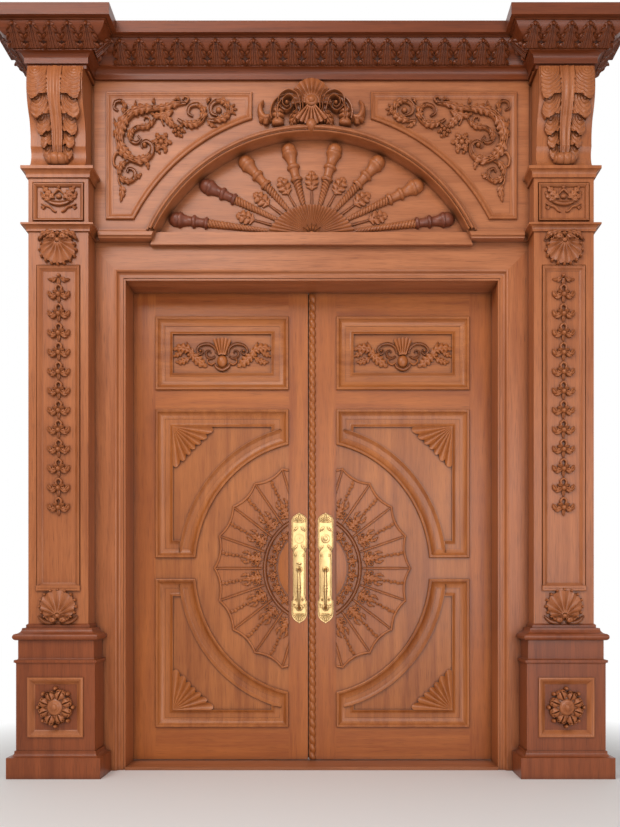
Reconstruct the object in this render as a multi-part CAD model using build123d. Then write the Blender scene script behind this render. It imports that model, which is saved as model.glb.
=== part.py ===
from build123d import *
import math
import os

# Carved double entrance door with its timber surround.
# Millimetres. X runs to the viewer's right, Y runs into the building, Z is up.
# Inside this file Y = 0 is the front face of the architrave and Z = 0 the floor;
# the finished pieces are shifted so that the middle of the whole depth is Y = 0.

# Doorway
opening_w = 1800
opening_h = 2365
casing_t = 40
rebate = 12
jamb_t = 70
leaf_t = 57
leaf_back = 250
stop_gap = 1
edge_gap = 3
meeting_gap = 5
strip_half = 18
strip_proud = 15
threshold_h = 14
threshold_nose = 30
floor_gap = 4

# Architrave
architrave_w = 140
architrave_head_w = 175
moulding_w = 50
moulding_ogee_w = 30
moulding_ogee_d = 14
moulding_step_w = 10
moulding_step_d = 5

# Leaf framing, seen faces
hinge_stile_w = 110
meeting_stile_w = 120
bottom_rail_h = 163
mid_rail_h = 98
top_rail_h = 118
upper_panel_h = 369
panel_t = 22
panel_sunk = 8
bolection_w = 46
bolection_proud = 12
bolection_bead_w = 28
groove_w = 23
inner_frame_w = 18
inner_frame_proud = 6

# Sunburst across both leaves
burst_side = 201
burst_ends = 165
burst_rim_x = 108
burst_rim_z = 114
burst_board_t = 40
cross_band_h = 106
burst_proud = 9
burst_steps = 10
burst_ring_rx = 249
burst_ring_rz = 272
burst_ring_w = 20
burst_ring_proud = 22
burst_core_rx = 170
burst_core_rz = 186
burst_core_proud = 26
rib_w = 9
rib_gap = 10
rib_proud = 18
cusp_depth = 22
husk_count = 4
husk_r = 11
corner_fan_r = 200
corner_fan_middle_r = 168
corner_fan_t = 16
corner_fan_flutes = 7

# Pilasters and pedestals
shaft_w = 280
shaft_front = 121
wall_t = 25
plinth_h = 97
plinth_out = 76
base_mould_h = 27
die_h = 402
die_out = 42
second_mould_h = 24
second_mould_out = 50
neck_h = 85
neck_out = 35
torus_h = 30
torus_out = 50
cap_h = 46
cap_out = 22
die_panel_w = 241
die_panel_h = 259
die_panel_drop = 73
die_field_in = 22
panel_sink = 10
rosette_w = 165
rosette_h = 183
shaft_panel_w = 190
shaft_panel_low = 171
shaft_panel_high = 162
shell_w = 187
shell_low_h = 160
shell_high_h = 147
shell_t = 22
shell_flutes = 9
flower_count = 12
flower_w = 97
flower_pitch = 90.5
flower_h = 84
flower_t = 16

# Upper stage of the pilasters
small_cornice_out = 28
small_cornice_low_h = 33
block_h = 218
small_cornice_high_h = 46
block_panel_w = 226
block_panel_h = 169
block_panel_lift = 22
console_w = 256
console_h = 449
console_low_front = 140
console_belly = 36
leaf_relief = 14
leaf_lobes = 5

# Cornice
cornice_core_front = 135
cornice_fillet_h = 19
cornice_fillet_out = 10
cornice_ovolo_h = 25
cornice_ovolo_out = 24
cornice_band_step = 8
cornice_band_h = 79
cornice_band_out = 75
cornice_top_step = 7
cornice_fascia_h = 53
cornice_fascia_out = 29
centre_core_front = 14

# Frieze board, arch and spandrels
frieze_front = 20
tympanum_t = 20
arch_r = 829
arch_drop = 327
archivolt_w = 46
archivolt_front = 65
lower_mould_h = 49
sill_front = 30
sill_h = 59
sill_drop = 21
spandrel_gap = 75
spandrel_side = 57
spandrel_low = 100
spandrel_high = 56
spandrel_inner = 283
spandrel_mould_w = 25
spandrel_mould_t = 12
scroll_t = 16
scroll_w = 15

# Lunette carving
fan_half_w = 220
fan_h = 149
fan_t = 24
fan_flutes = 20
fan_boss_w = 105
fan_boss_h = 40
spoke_first = 7.0
spoke_step = 8.15
spoke_spread = 0.53
torch_count = 4
torch_gap = 14
torch_foot_gap = 3
torch_head_r = 27
torch_neck_r = 17
torch_ring_r = 24
torch_tip_r = 10
bud_w = 60
bud_h = 97
bud_stem = 70
bud_t = 14

# Cartouche over the arch crown
cartouche_w = 508
cartouche_lap = 16
cartouche_drop = 9
cartouche_top_gap = 4
cartouche_shell_w = 195
cartouche_boss_rx = 30
cartouche_boss_rz = 27

# Door furniture
plate_x = 66
plate_low = 703
plate_high = 1261
plate_w = 77
plate_waist = 63
plate_t = 4
grip_low = 780
grip_high = 975
grip_r = 9
grip_reach = 52
thumb_z = 1003
thumb_w = 26
thumb_reach = 34
thumb_t = 5
thumb_clear = 0.4
cylinder_z = 1129
cylinder_ring_r = 21.5
cylinder_ring_t = 6
plug_r = 8
plug_clear = 0.3
case_low = 975
case_high = 1160
case_depth = 62
case_t = 18
case_wall = 2
latch_z = 1024
latch_h = 24
latch_t = 9
latch_len = 34
latch_throw = 12
dead_z = 1084
dead_h = 30
dead_t = 9
dead_len = 40
dead_throw = 20
bolt_clear = 0.3
strike_t = 3
strike_w = 22
lever_z = 1042
lever_x = 74
lever_r = 5
lever_reach = 42
lever_len = 108
lever_grip_r = 9
inside_plate_w = 50
inside_plate_t = 4
flush_r = 6
flush_len = 160
flush_throw = 11
flush_x = 8
flush_clear = 0.3

# Hinges
hinge_len = 150
hinge_plate_t = 3
hinge_plate_w = 42
pin_r = 4
pin_clear = 0.1
barrel_r = 7
barrel_off = 8
knuckle_gap = 0.5
hinge_inset = 230

# Heights that follow from the sizes above
half_w = opening_w / 2
leaf_front = leaf_back - leaf_t
stop_y = leaf_front - stop_gap
arch_outer = half_w + architrave_w
entablature_z = opening_h + architrave_head_w
shaft_x = arch_outer + shaft_w / 2
shaft_half = shaft_w / 2
z_die = plinth_h + base_mould_h
z_second = z_die + die_h
z_neck = z_second + second_mould_h
z_torus = z_neck + neck_h
z_cap = z_torus + torus_h
z_shaft = z_cap + cap_h
z_block = entablature_z + small_cornice_low_h
z_block_top = z_block + block_h
z_console = z_block_top + small_cornice_high_h
z_bed = z_console + console_h
z_fillets = z_bed + 2 * cornice_fillet_h
z_ovolo = z_fillets + cornice_ovolo_h
z_band = z_ovolo + cornice_band_step
z_band_top = z_band + cornice_band_h
z_fascia = z_band_top + cornice_top_step
z_top = z_fascia + cornice_fascia_h
z_frieze_top = z_bed + cornice_fillet_h
arch_z = entablature_z - arch_drop
sill_z = entablature_z - sill_drop
sill_top = sill_z + sill_h
cartouche_low = arch_z + arch_r - cartouche_drop
cartouche_h = z_frieze_top - cartouche_top_gap - cartouche_low
out_fillet = cornice_fillet_out
out_fillet_two = 2 * cornice_fillet_out
out_ovolo = out_fillet_two + cornice_ovolo_out
out_band = out_ovolo + 4
out_band_top = out_band + cornice_band_out
out_fascia = out_band_top + cornice_fascia_out
leaf_low = threshold_h + floor_gap
leaf_high = opening_h + rebate - edge_gap
leaf_edge = half_w + rebate - edge_gap
leaf_meet_left = strip_half + meeting_gap
stile_x = half_w - hinge_stile_w
group_low = leaf_low + bottom_rail_h
upper_high = opening_h - top_rail_h
upper_low = upper_high - upper_panel_h
group_high = upper_low - mid_rail_h
burst_z = (group_low + group_high) / 2
burst_frame_rx = stile_x - burst_side
burst_frame_rz = (group_high - group_low) / 2 - burst_ends
burst_rx = burst_frame_rx - burst_rim_x
burst_rz = burst_frame_rz - burst_rim_z
pin_x = half_w + rebate - edge_gap / 2
pin_y = leaf_back + barrel_off
leaf_mid_y = leaf_front + leaf_t / 2
lever_back = leaf_back + inside_plate_t + lever_reach + lever_grip_r
depth_front = cornice_core_front + out_fascia
shift_y = (depth_front - lever_back) / 2


def slab(x0, x1, y0, y1, z0, z1):
    centre = ((x0 + x1) / 2, (y0 + y1) / 2, (z0 + z1) / 2)
    return Pos(*centre) * Box(abs(x1 - x0), abs(y1 - y0), abs(z1 - z0))


def front(y):
    return Plane(origin=(0, y, 0), x_dir=(1, 0, 0), z_dir=(0, -1, 0))


def raised(face, y, proud, taper=0):
    return extrude(front(y) * face, amount=proud, dir=(0, -1, 0), taper=taper)


def grown(face, height, taper=0):
    return extrude(face, amount=height, dir=(0, 0, 1), taper=taper)


def flipped(shape):
    return mirror(shape, about=Plane.YZ)


def pair(shape):
    return list(shape.solids()) + list(flipped(shape).solids())


def rect(x0, x1, z0, z1):
    return Pos((x0 + x1) / 2, (z0 + z1) / 2) * Rectangle(abs(x1 - x0), abs(z1 - z0))


def bend(a, b, sag):
    # one edge from a to b; sag is the rise of the arc as a share of the chord
    if sag == 0:
        return [Line(a, b)]
    along = Vector(*b) - Vector(*a)
    side = Vector(-along.Y, along.X)
    middle = (Vector(*a) + Vector(*b)) * 0.5 + side * sag
    return [ThreePointArc(a, (middle.X, middle.Y), b)]


def ogee(a, b, sag):
    middle = ((a[0] + b[0]) / 2, (a[1] + b[1]) / 2)
    return bend(a, middle, sag) + bend(middle, b, -sag)


def outline(start, steps):
    # closed face from a start point and steps (x, y, sag)
    edges = []
    here = start
    for x, y, sag in steps:
        edges += bend(here, (x, y), sag)
        here = (x, y)
    if here != start:
        edges.append(Line(here, start))
    return make_face(edges)


def moulded(core_half, core_front, back, start, steps):
    # block whose sides and front carry the same moulding; steps are (out, z, sag)
    side_edges = []
    front_edges = []
    here = start
    for out, z, sag in steps:
        side_edges += bend((core_half + here[0], here[1]), (core_half + out, z), sag)
        front_edges += bend((core_front + here[0], here[1]), (core_front + out, z), sag)
        here = (out, z)
    low = (0, start[1])
    high = (0, here[1])
    side_edges += [Line((core_half + here[0], here[1]), high), Line(high, low)]
    side_edges.append(Line(low, (core_half + start[0], start[1])))
    far = 2000
    side = extrude(Plane.XZ * make_face(side_edges), amount=far, both=True)
    back_low = (-back, start[1])
    back_high = (-back, here[1])
    front_edges += [Line((core_front + here[0], here[1]), back_high), Line(back_high, back_low)]
    front_edges.append(Line(back_low, (core_front + start[0], start[1])))
    facing = Plane(origin=(0, 0, 0), x_dir=(0, -1, 0), z_dir=(-1, 0, 0))
    face = extrude(facing * make_face(front_edges), amount=far, both=True)
    half = side & face
    return half + flipped(half)


def fluted(shape, x, z, y, reach, rim_r, count, start, sweep_angle):
    # hollow flutes running out from (x, z) across the face at y
    step = sweep_angle / count
    for i in range(count):
        angle = math.radians(start + (i + 0.5) * step)
        ray = Plane(origin=(x, y, z), z_dir=(math.cos(angle), 0, math.sin(angle)))
        tool = Cone(rim_r * 0.12, rim_r, reach, align=(Align.CENTER, Align.CENTER, Align.MIN))
        shape = shape - ray * tool
    return shape


def ribbon(x, z, radius, start, arc, width):
    outer = radius + width / 2
    inner = radius - width / 2
    a = math.radians(start)
    b = math.radians(start + arc)
    m = math.radians(start + arc / 2)
    p1 = (x + outer * math.cos(a), z + outer * math.sin(a))
    p2 = (x + outer * math.cos(m), z + outer * math.sin(m))
    p3 = (x + outer * math.cos(b), z + outer * math.sin(b))
    q1 = (x + inner * math.cos(a), z + inner * math.sin(a))
    q2 = (x + inner * math.cos(m), z + inner * math.sin(m))
    q3 = (x + inner * math.cos(b), z + inner * math.sin(b))
    edges = [ThreePointArc(p1, p2, p3), Line(p3, q3), ThreePointArc(q3, q2, q1), Line(q1, p1)]
    return make_face(edges)


def volute(x, z, radius, start, hand, width):
    # spiral of three half turns about a round eye, as a flat face
    face = ribbon(x, z, radius, start, 180 * hand, width)
    here_x = x
    here_z = z
    size = radius
    angle = start + 180 * hand
    for i in range(2):
        smaller = size * 0.62
        turn = math.radians(angle)
        here_x += (size - smaller) * math.cos(turn)
        here_z += (size - smaller) * math.sin(turn)
        face += ribbon(here_x, here_z, smaller, angle, 180 * hand, width)
        angle += 180 * hand
        size = smaller
    face += Pos(here_x, here_z) * Circle(size * 0.55)
    return face


def leaf_blade(length, width):
    return outline((0, 0), [(width / 2, length * 0.45, -0.16), (0, length, -0.12),
                            (-width / 2, length * 0.45, -0.12), (0, 0, -0.16)])


# Fixed lining, threshold and architrave
def make_threshold():
    body = slab(-half_w - jamb_t, half_w + jamb_t, casing_t, leaf_back, 0, threshold_h)
    body += slab(-half_w, half_w, casing_t - threshold_nose, casing_t, 0, threshold_h)
    socket = Pos(-flush_x, leaf_mid_y, 0) * Cylinder(flush_r + 1, 4 * threshold_h)
    return body - socket


def make_jamb():
    body = slab(half_w, half_w + jamb_t, casing_t, leaf_back, threshold_h, opening_h)
    body -= slab(half_w - 1, half_w + rebate, stop_y, leaf_back + 1, 0, opening_h + 1)
    for z in hinge_heights():
        low = z - hinge_len / 2
        face = half_w + rebate
        body -= slab(face, face + hinge_plate_t, leaf_back - hinge_plate_w, leaf_back, low, low + hinge_len)
    return body


def make_head():
    edge = half_w + jamb_t
    body = slab(-edge, edge, casing_t, leaf_back, opening_h, opening_h + jamb_t)
    reach = half_w + rebate
    body -= slab(-reach, reach, stop_y, leaf_back + 1, opening_h - 1, opening_h + rebate)
    socket = Pos(-flush_x, leaf_mid_y, opening_h + rebate) * Cylinder(flush_r + 1, 2 * flush_throw + 8)
    return body - socket


def architrave_face(width):
    flat = width - moulding_w
    ogee_end = flat + moulding_ogee_w
    step_end = ogee_end + moulding_step_w
    deep = moulding_ogee_d + moulding_step_d
    edges = [Line((0, casing_t), (0, 0)), Line((0, 0), (flat, 0))]
    edges += ogee((flat, 0), (ogee_end, moulding_ogee_d), -0.2)
    edges.append(Line((ogee_end, moulding_ogee_d), (step_end, moulding_ogee_d)))
    edges.append(Line((step_end, moulding_ogee_d), (step_end, deep)))
    edges.append(Line((step_end, deep), (width, deep)))
    edges.append(Line((width, deep), (width, casing_t)))
    edges.append(Line((width, casing_t), (0, casing_t)))
    return make_face(edges)


def mitre_block(keep_head):
    # everything above the 45 degree line through the head's inner corner
    far = 4000
    low = (half_w - far, opening_h - far)
    high = (half_w + far, opening_h + far)
    corner = (half_w - far, opening_h + far) if keep_head else (half_w + far, opening_h - far)
    face = make_face([Line(low, high), Line(high, corner), Line(corner, low)])
    return extrude(Plane.XZ * face, amount=far, both=True)


def make_architrave_side():
    plane = Plane(origin=(arch_outer, 0, 0), x_dir=(-1, 0, 0), z_dir=(0, 0, -1))
    leg = extrude(plane * architrave_face(architrave_w), amount=-entablature_z)
    return leg & mitre_block(False)


def make_architrave_head():
    plane = Plane(origin=(0, 0, entablature_z), x_dir=(0, 0, -1), z_dir=(1, 0, 0))
    bar = extrude(plane * architrave_face(architrave_head_w), amount=arch_outer, both=True)
    half = bar & mitre_block(True) & slab(0, arch_outer, -100, 100, 0, z_top)
    return half + flipped(half)


# Pilasters, pedestals and what stands over them
def hollow(x0, x1, y0, z0, z1):
    return slab(x0, x1, y0, casing_t + 1, z0, z1)


def make_pedestal():
    steps = [(plinth_out, plinth_h, 0), (plinth_out - 6, plinth_h, 0)]
    steps += [(die_out + 6, z_die - 6, 0.24), (die_out + 6, z_die, 0), (die_out, z_die, 0)]
    steps += [(die_out, z_second, 0), (second_mould_out, z_second + 6, 0.2)]
    steps += [(second_mould_out, z_neck - 6, 0), (neck_out, z_neck, 0.2), (neck_out, z_torus, 0)]
    steps += [(torus_out - 6, z_torus, 0), (torus_out - 6, z_cap, -0.4)]
    steps += [(cap_out, z_cap + cap_h * 0.55, 0.2), (8, z_cap + cap_h * 0.6, 0), (8, z_shaft - 6, 0)]
    steps += [(0, z_shaft, 0)]
    body = moulded(shaft_half, shaft_front, casing_t, (plinth_out, 0), steps)
    inner = shaft_half - wall_t
    body -= hollow(-inner, inner, wall_t - shaft_front, -1, z_shaft - wall_t)
    panel_low = z_die + (die_h - die_panel_h) / 2
    panel_front = -shaft_front - die_out
    half = die_panel_w / 2
    field = rect(-half, half, panel_low, panel_low + die_panel_h)
    body -= raised(field, panel_front + panel_sink, panel_sink + 1, -40)
    body = Pos(shaft_x, 0, 0) * body
    return body - slab(0, arch_outer, 0, casing_t + 1, -1, z_shaft + 1)


def make_pilaster():
    body = slab(-shaft_half, shaft_half, -shaft_front, casing_t, z_shaft, entablature_z)
    inner = shaft_half - wall_t
    body -= hollow(-inner, inner, wall_t - shaft_front, z_shaft - 1, entablature_z + 1)
    half = shaft_panel_w / 2
    field = rect(-half, half, z_shaft + shaft_panel_low, entablature_z - shaft_panel_high)
    body -= raised(field, panel_sink - shaft_front, panel_sink + 1, -40)
    return Pos(shaft_x, 0, 0) * body


def make_upper_block():
    out = small_cornice_out
    low = entablature_z
    rise = small_cornice_low_h
    steps = [(out * 0.3, low, 0), (out * 0.3, low + rise * 0.3, 0)]
    steps += [(out, low + rise * 0.75, 0.2), (out, z_block, 0), (0, z_block, 0)]
    lower = moulded(shaft_half, shaft_front, casing_t, (0, low), steps)
    block = slab(-shaft_half, shaft_half, -shaft_front, casing_t, z_block, z_block_top)
    half = block_panel_w / 2
    panel_low = z_block + block_panel_lift
    field = rect(-half, half, panel_low, panel_low + block_panel_h)
    block -= raised(field, panel_sink - shaft_front, panel_sink + 1, -40)
    rise = small_cornice_high_h
    steps = [(out * 0.3, z_block_top, 0), (out * 0.3, z_block_top + rise * 0.25, 0)]
    steps += [(out, z_block_top + rise * 0.7, 0.2), (out, z_console, 0), (0, z_console, 0)]
    upper = moulded(shaft_half, shaft_front, casing_t, (0, z_block_top), steps)
    inner = shaft_half - wall_t
    space = hollow(-inner, inner, wall_t - shaft_front, low - 1, z_console + 1)
    keep_out = slab(0, arch_outer, -frieze_front, casing_t + 1, low - 1, z_top)
    pieces = []
    for piece in (lower, block, upper):
        placed = Pos(shaft_x, 0, 0) * (piece - space)
        pieces.append(placed - keep_out)
    return pieces


def console_side(extra, back):
    # side outline of the console, out from the wall, with an even extra skin
    low = console_low_front + extra
    belly = console_low_front + console_belly + extra
    third = z_console + console_h * 0.22
    half = z_console + console_h * 0.5
    edges = bend((low, z_console), (low - 14, third), 0.16)
    edges += bend((low - 14, third), (low + 4, half), 0.06)
    edges += bend((low + 4, half), (belly - 10, z_bed), -0.12)
    edges += [Line((belly - 10, z_bed), (-back, z_bed)), Line((-back, z_bed), (-back, z_console))]
    edges.append(Line((-back, z_console), (low, z_console)))
    return make_face(edges)


def console_solid(extra, back, width):
    facing = Plane(origin=(0, 0, 0), x_dir=(0, -1, 0), z_dir=(-1, 0, 0))
    return extrude(facing * console_side(extra, back), amount=width / 2, both=True)


def make_console():
    body = console_solid(0, casing_t, console_w)
    inner = console_w / 2 - wall_t
    body -= hollow(-inner, inner, 2 * wall_t - shaft_front, z_console - 1, z_bed + 1)
    body = Pos(shaft_x, 0, 0) * body
    return body - slab(0, arch_outer, -frieze_front, casing_t + 1, z_console - 1, z_bed + 1)


def acanthus_outline():
    # half outline climbs through rounded lobes from the narrow scroll end to the top
    low = z_console + 8
    foot = console_w * 0.19
    wide = console_w / 2 - 3
    rise = (z_bed - 4 - low) / leaf_lobes
    edges = [Line((0, low), (foot, low))]
    here = (foot, low)
    for i in range(leaf_lobes):
        share = (i + 1) / leaf_lobes
        tip = (foot + (wide - foot) * share, low + rise * (i + 0.8))
        notch = (tip[0] - 20, low + rise * (i + 1))
        edges += bend(here, tip, -0.2)
        edges += bend(tip, notch, 0)
        here = notch
    edges.append(Line(here, (0, here[1])))
    edges.append(Line((0, here[1]), (0, low)))
    return make_face(edges)


def make_acanthus():
    face = acanthus_outline()
    front_cut = extrude(Plane.XZ * face, amount=400)
    skin = console_solid(leaf_relief, 0, console_w) - console_solid(0, 10, console_w + 10)
    half = front_cut & skin
    rib_half = console_w * 0.035
    rib = console_solid(leaf_relief + 6, 0, rib_half * 2) - console_solid(0, 10, console_w)
    rib &= slab(-rib_half, rib_half, -400, 0, z_console + 8, z_bed - 4)
    leaf = half + flipped(half) + rib
    return Pos(shaft_x, 0, 0) * leaf


def cornice_steps(with_fillets):
    steps = []
    if with_fillets:
        steps += [(out_fillet, z_bed, 0), (out_fillet, z_frieze_top, 0)]
        start = (0, z_bed)
    else:
        start = (0, z_frieze_top)
    steps += [(out_fillet_two, z_frieze_top, 0), (out_fillet_two, z_fillets, 0)]
    steps += [(out_ovolo, z_ovolo, 0.2), (out_band, z_ovolo, 0), (out_band, z_band, 0)]
    steps += [(out_band + cornice_band_out * 0.45, z_band + cornice_band_h * 0.45, 0.12)]
    steps += [(out_band_top, z_band_top, -0.12)]
    steps += [(out_band_top + cornice_top_step, z_band_top, 0), (out_band_top + cornice_top_step, z_fascia, 0)]
    steps += [(out_fascia, z_fascia, 0), (out_fascia, z_top, 0), (0, z_top, 0)]
    return start, steps


def make_cornice_block():
    start, steps = cornice_steps(True)
    body = moulded(console_w / 2, cornice_core_front, casing_t, start, steps)
    inner = console_w / 2 - wall_t
    body -= hollow(-inner, inner, wall_t - shaft_front, z_bed - 1, z_top - wall_t)
    body = Pos(shaft_x, 0, 0) * body
    return body - slab(0, arch_outer, -frieze_front, casing_t + 1, z_bed - 1, z_frieze_top)


def make_cornice_centre(block):
    start, steps = cornice_steps(False)
    edges = []
    here = (centre_core_front + start[0], start[1])
    first = here
    for out, z, sag in steps:
        there = (centre_core_front + out, z)
        edges += bend(here, there, sag)
        here = there
    edges += [Line(here, (-casing_t, here[1])), Line((-casing_t, here[1]), (-casing_t, first[1]))]
    edges.append(Line((-casing_t, first[1]), first))
    facing = Plane(origin=(0, 0, 0), x_dir=(0, -1, 0), z_dir=(-1, 0, 0))
    body = extrude(facing * make_face(edges), amount=arch_outer, both=True)
    hidden = shaft_x - console_w / 2 + wall_t
    solid_block = block + slab(hidden, shaft_x, -frieze_front, casing_t, z_frieze_top, z_top)
    return body - solid_block - flipped(solid_block)


# Frieze, arch and lunette
def arch_disc(radius):
    return Pos(0, arch_z) * Circle(radius)


def make_frieze_board():
    face = rect(-arch_outer, arch_outer, entablature_z, z_frieze_top) - arch_disc(arch_r)
    return raised(face, casing_t, casing_t + frieze_front)


def make_tympanum():
    low = rect(-arch_outer, arch_outer, entablature_z, z_frieze_top)
    return raised(arch_disc(arch_r) & low, casing_t, tympanum_t)


def archivolt_profile(inner):
    # section of the arch moulding: distance from the arch centre, distance from the wall
    deep = frieze_front
    lip = archivolt_front
    mid = (deep + lip) / 2
    edges = [Line((inner, deep), (inner, lip - 12))]
    edges += bend((inner, lip - 12), (inner + 10, lip), -0.2)
    edges.append(Line((inner + 10, lip), (inner + archivolt_w * 0.55, lip)))
    edges += bend((inner + archivolt_w * 0.55, lip), (inner + archivolt_w, mid), -0.25)
    edges.append(Line((inner + archivolt_w, mid), (inner + archivolt_w, deep)))
    edges.append(Line((inner + archivolt_w, deep), (inner, deep)))
    return make_face(edges)


def make_archivolt():
    section = Plane(origin=(0, 0, arch_z), x_dir=(1, 0, 0), z_dir=(0, 0, 1)) * flip_section()
    ring = revolve(section, axis=Axis((0, 0, arch_z), (0, 1, 0)), revolution_arc=360)
    keep = slab(-arch_outer, arch_outer, -200, 200, entablature_z + lower_mould_h, z_top)
    return ring & keep


def flip_section():
    return mirror(archivolt_profile(arch_r), about=Plane.XZ)


def make_lower_mould():
    z1 = entablature_z + lower_mould_h
    deep = frieze_front
    lip = archivolt_front
    edges = [Line((deep, entablature_z), (lip - 12, entablature_z))]
    edges += bend((lip - 12, entablature_z), (lip, entablature_z + 10), 0.2)
    edges.append(Line((lip, entablature_z + 10), (lip, entablature_z + lower_mould_h * 0.55)))
    edges += bend((lip, entablature_z + lower_mould_h * 0.55), ((deep + lip) / 2, z1), 0.25)
    edges.append(Line(((deep + lip) / 2, z1), (deep, z1)))
    edges.append(Line((deep, z1), (deep, entablature_z)))
    facing = Plane(origin=(0, 0, 0), x_dir=(0, -1, 0), z_dir=(-1, 0, 0))
    inner_end = shaft_x - shaft_half - small_cornice_out
    bar = extrude(facing * make_face(edges), amount=-inner_end)
    bar &= slab(0, inner_end, -200, 0, entablature_z, z1)
    disc = raised(arch_disc(arch_r), casing_t, 200)
    return bar - disc


def make_sill():
    body = slab(-arch_outer, arch_outer, -sill_front, casing_t - tympanum_t, sill_z, sill_top)
    body &= raised(arch_disc(arch_r), casing_t, 200)
    return body - slab(-arch_outer, arch_outer, 0, casing_t, sill_z - 1, entablature_z)


def spandrel_face(inset):
    radius = arch_r + archivolt_w + spandrel_gap + inset
    low = entablature_z + spandrel_low + inset
    high = z_frieze_top - spandrel_high - inset
    face = rect(spandrel_inner + inset, arch_outer - spandrel_side - inset, low, high)
    return face - arch_disc(radius)


def make_spandrel_frame():
    wide = spandrel_face(0) - spandrel_face(spandrel_mould_w)
    narrow = spandrel_face(7) - spandrel_face(spandrel_mould_w - 7)
    return raised(wide, -frieze_front, 6) + raised(narrow, -frieze_front, spandrel_mould_t)


def make_spandrel_scroll():
    # vine of volutes; places are shares of the panel's height from its upper outer corner
    x = arch_outer - spandrel_side - spandrel_mould_w
    z = z_frieze_top - spandrel_high - spandrel_mould_w
    unit = z - entablature_z - spandrel_low - spandrel_mould_w
    face = volute(x - 0.22 * unit, z - 0.33 * unit, 0.17 * unit, 60, 1, scroll_w * 1.3)
    face += volute(x - 0.69 * unit, z - 0.15 * unit, 0.085 * unit, 200, -1, scroll_w)
    face += volute(x - 0.93 * unit, z - 0.12 * unit, 0.08 * unit, 120, 1, scroll_w)
    face += volute(x - 0.13 * unit, z - 0.66 * unit, 0.068 * unit, 90, -1, scroll_w)
    face += volute(x - 0.08 * unit, z - 0.075 * unit, 0.055 * unit, 200, 1, scroll_w)
    face += ribbon(x - 0.42 * unit, z - 0.0 * unit, 0.13 * unit, 210, 110, scroll_w)
    face += ribbon(x - 0.56 * unit, z - 0.26 * unit, 0.1 * unit, 40, 110, scroll_w)
    face += ribbon(x + 0.03 * unit, z - 0.56 * unit, 0.12 * unit, 130, 90, scroll_w)
    face += Pos(x - 1.03 * unit, z - 0.1 * unit) * Rot(0, 0, 100) * leaf_blade(0.12 * unit, 0.05 * unit)
    face += Pos(x - 0.1 * unit, z - 0.74 * unit) * Rot(0, 0, 176) * leaf_blade(0.16 * unit, 0.06 * unit)
    face += Pos(x - 0.56 * unit, z - 0.23 * unit) * Rot(0, 0, 180) * leaf_blade(0.15 * unit, 0.08 * unit)
    face += Pos(x - 0.36 * unit, z - 0.34 * unit) * Rot(0, 0, 150) * leaf_blade(0.17 * unit, 0.11 * unit)
    return raised(face & spandrel_face(spandrel_mould_w + 1), -frieze_front, scroll_t)


def tympanum_y():
    return casing_t - tympanum_t


def fan_centre():
    radius = (fan_half_w ** 2 + fan_h ** 2) / (2 * fan_h)
    return radius, sill_top + fan_h - radius


def make_fan():
    radius, centre = fan_centre()
    half = rect(-arch_r, arch_r, sill_top, z_top)
    body = raised((Pos(0, centre) * Circle(radius)) & half, tympanum_y(), fan_t)
    spread = math.degrees(math.asin((sill_top - centre) / radius))
    pitch = math.radians((180 - 2 * spread) / fan_flutes)
    rim = radius * math.tan(pitch / 2) * 0.9
    body = fluted(body, 0, centre, tympanum_y() - fan_t, radius + 6, rim, fan_flutes, spread, 180 - 2 * spread)
    boss = (Pos(0, sill_top) * Ellipse(fan_boss_w / 2, fan_boss_h)) & half
    return body + raised(boss, tympanum_y(), fan_t + 8)


def torch_profile(length, foot):
    head = torch_head_r
    neck = torch_neck_r
    ring = torch_ring_r
    shaft_end = length - 170
    edges = [Line((0, foot), (torch_tip_r, foot)), Line((torch_tip_r, foot), (neck + 4, shaft_end))]
    edges.append(Line((neck + 4, shaft_end), (ring, shaft_end)))
    edges += bend((ring, shaft_end), (ring, shaft_end + 18), -0.4)
    edges.append(Line((ring, shaft_end + 18), (neck + 4, shaft_end + 18)))
    edges.append(Line((neck + 4, shaft_end + 18), (neck + 4, shaft_end + 60)))
    edges += bend((neck + 4, shaft_end + 60), (neck + 4, shaft_end + 76), -0.5)
    edges += bend((neck + 4, shaft_end + 76), (ring, shaft_end + 112), 0.25)
    edges += bend((ring, shaft_end + 112), (head, shaft_end + 124), -0.4)
    edges += bend((head, shaft_end + 124), (0, length), -0.22)
    edges.append(Line((0, length), (0, foot)))
    return make_face(edges)


def spoke_angle(i):
    # torches and buds take turns along one series of spokes that opens towards the crown
    last = 2 * torch_count - 1
    if i == last:
        return math.pi / 2
    return math.radians(spoke_first + spoke_step * i + spoke_spread * i * i)


def reach_of(angle, radius, centre_below):
    # distance from the middle of the sill to a circle centred below it
    sine = math.sin(angle)
    return math.sqrt(radius ** 2 - (centre_below * math.cos(angle)) ** 2) - centre_below * sine


def fan_reach(angle):
    radius, centre = fan_centre()
    return reach_of(angle, radius, sill_top - centre)


def make_torch(angle):
    length = reach_of(angle, arch_r, sill_top - arch_z) - torch_gap
    profile = torch_profile(length, fan_reach(angle) + torch_foot_gap)
    return revolve(profile, axis=Axis((0, 0, 0), (0, -1, 0)), revolution_arc=180)


def placed_on_lunette(shape, angle):
    ray = Plane(origin=(0, tympanum_y(), sill_top), x_dir=(math.sin(angle), 0, -math.cos(angle)), z_dir=(0, -1, 0))
    return ray * shape


def make_bud(angle):
    foot = fan_reach(angle)
    blade = Pos(0, foot + bud_stem) * leaf_blade(bud_h, bud_w)
    stem = rect(-5, 5, foot + torch_foot_gap, foot + bud_stem + 6)
    return grown(blade, bud_t, 30) + grown(stem, bud_t * 0.5)


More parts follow.
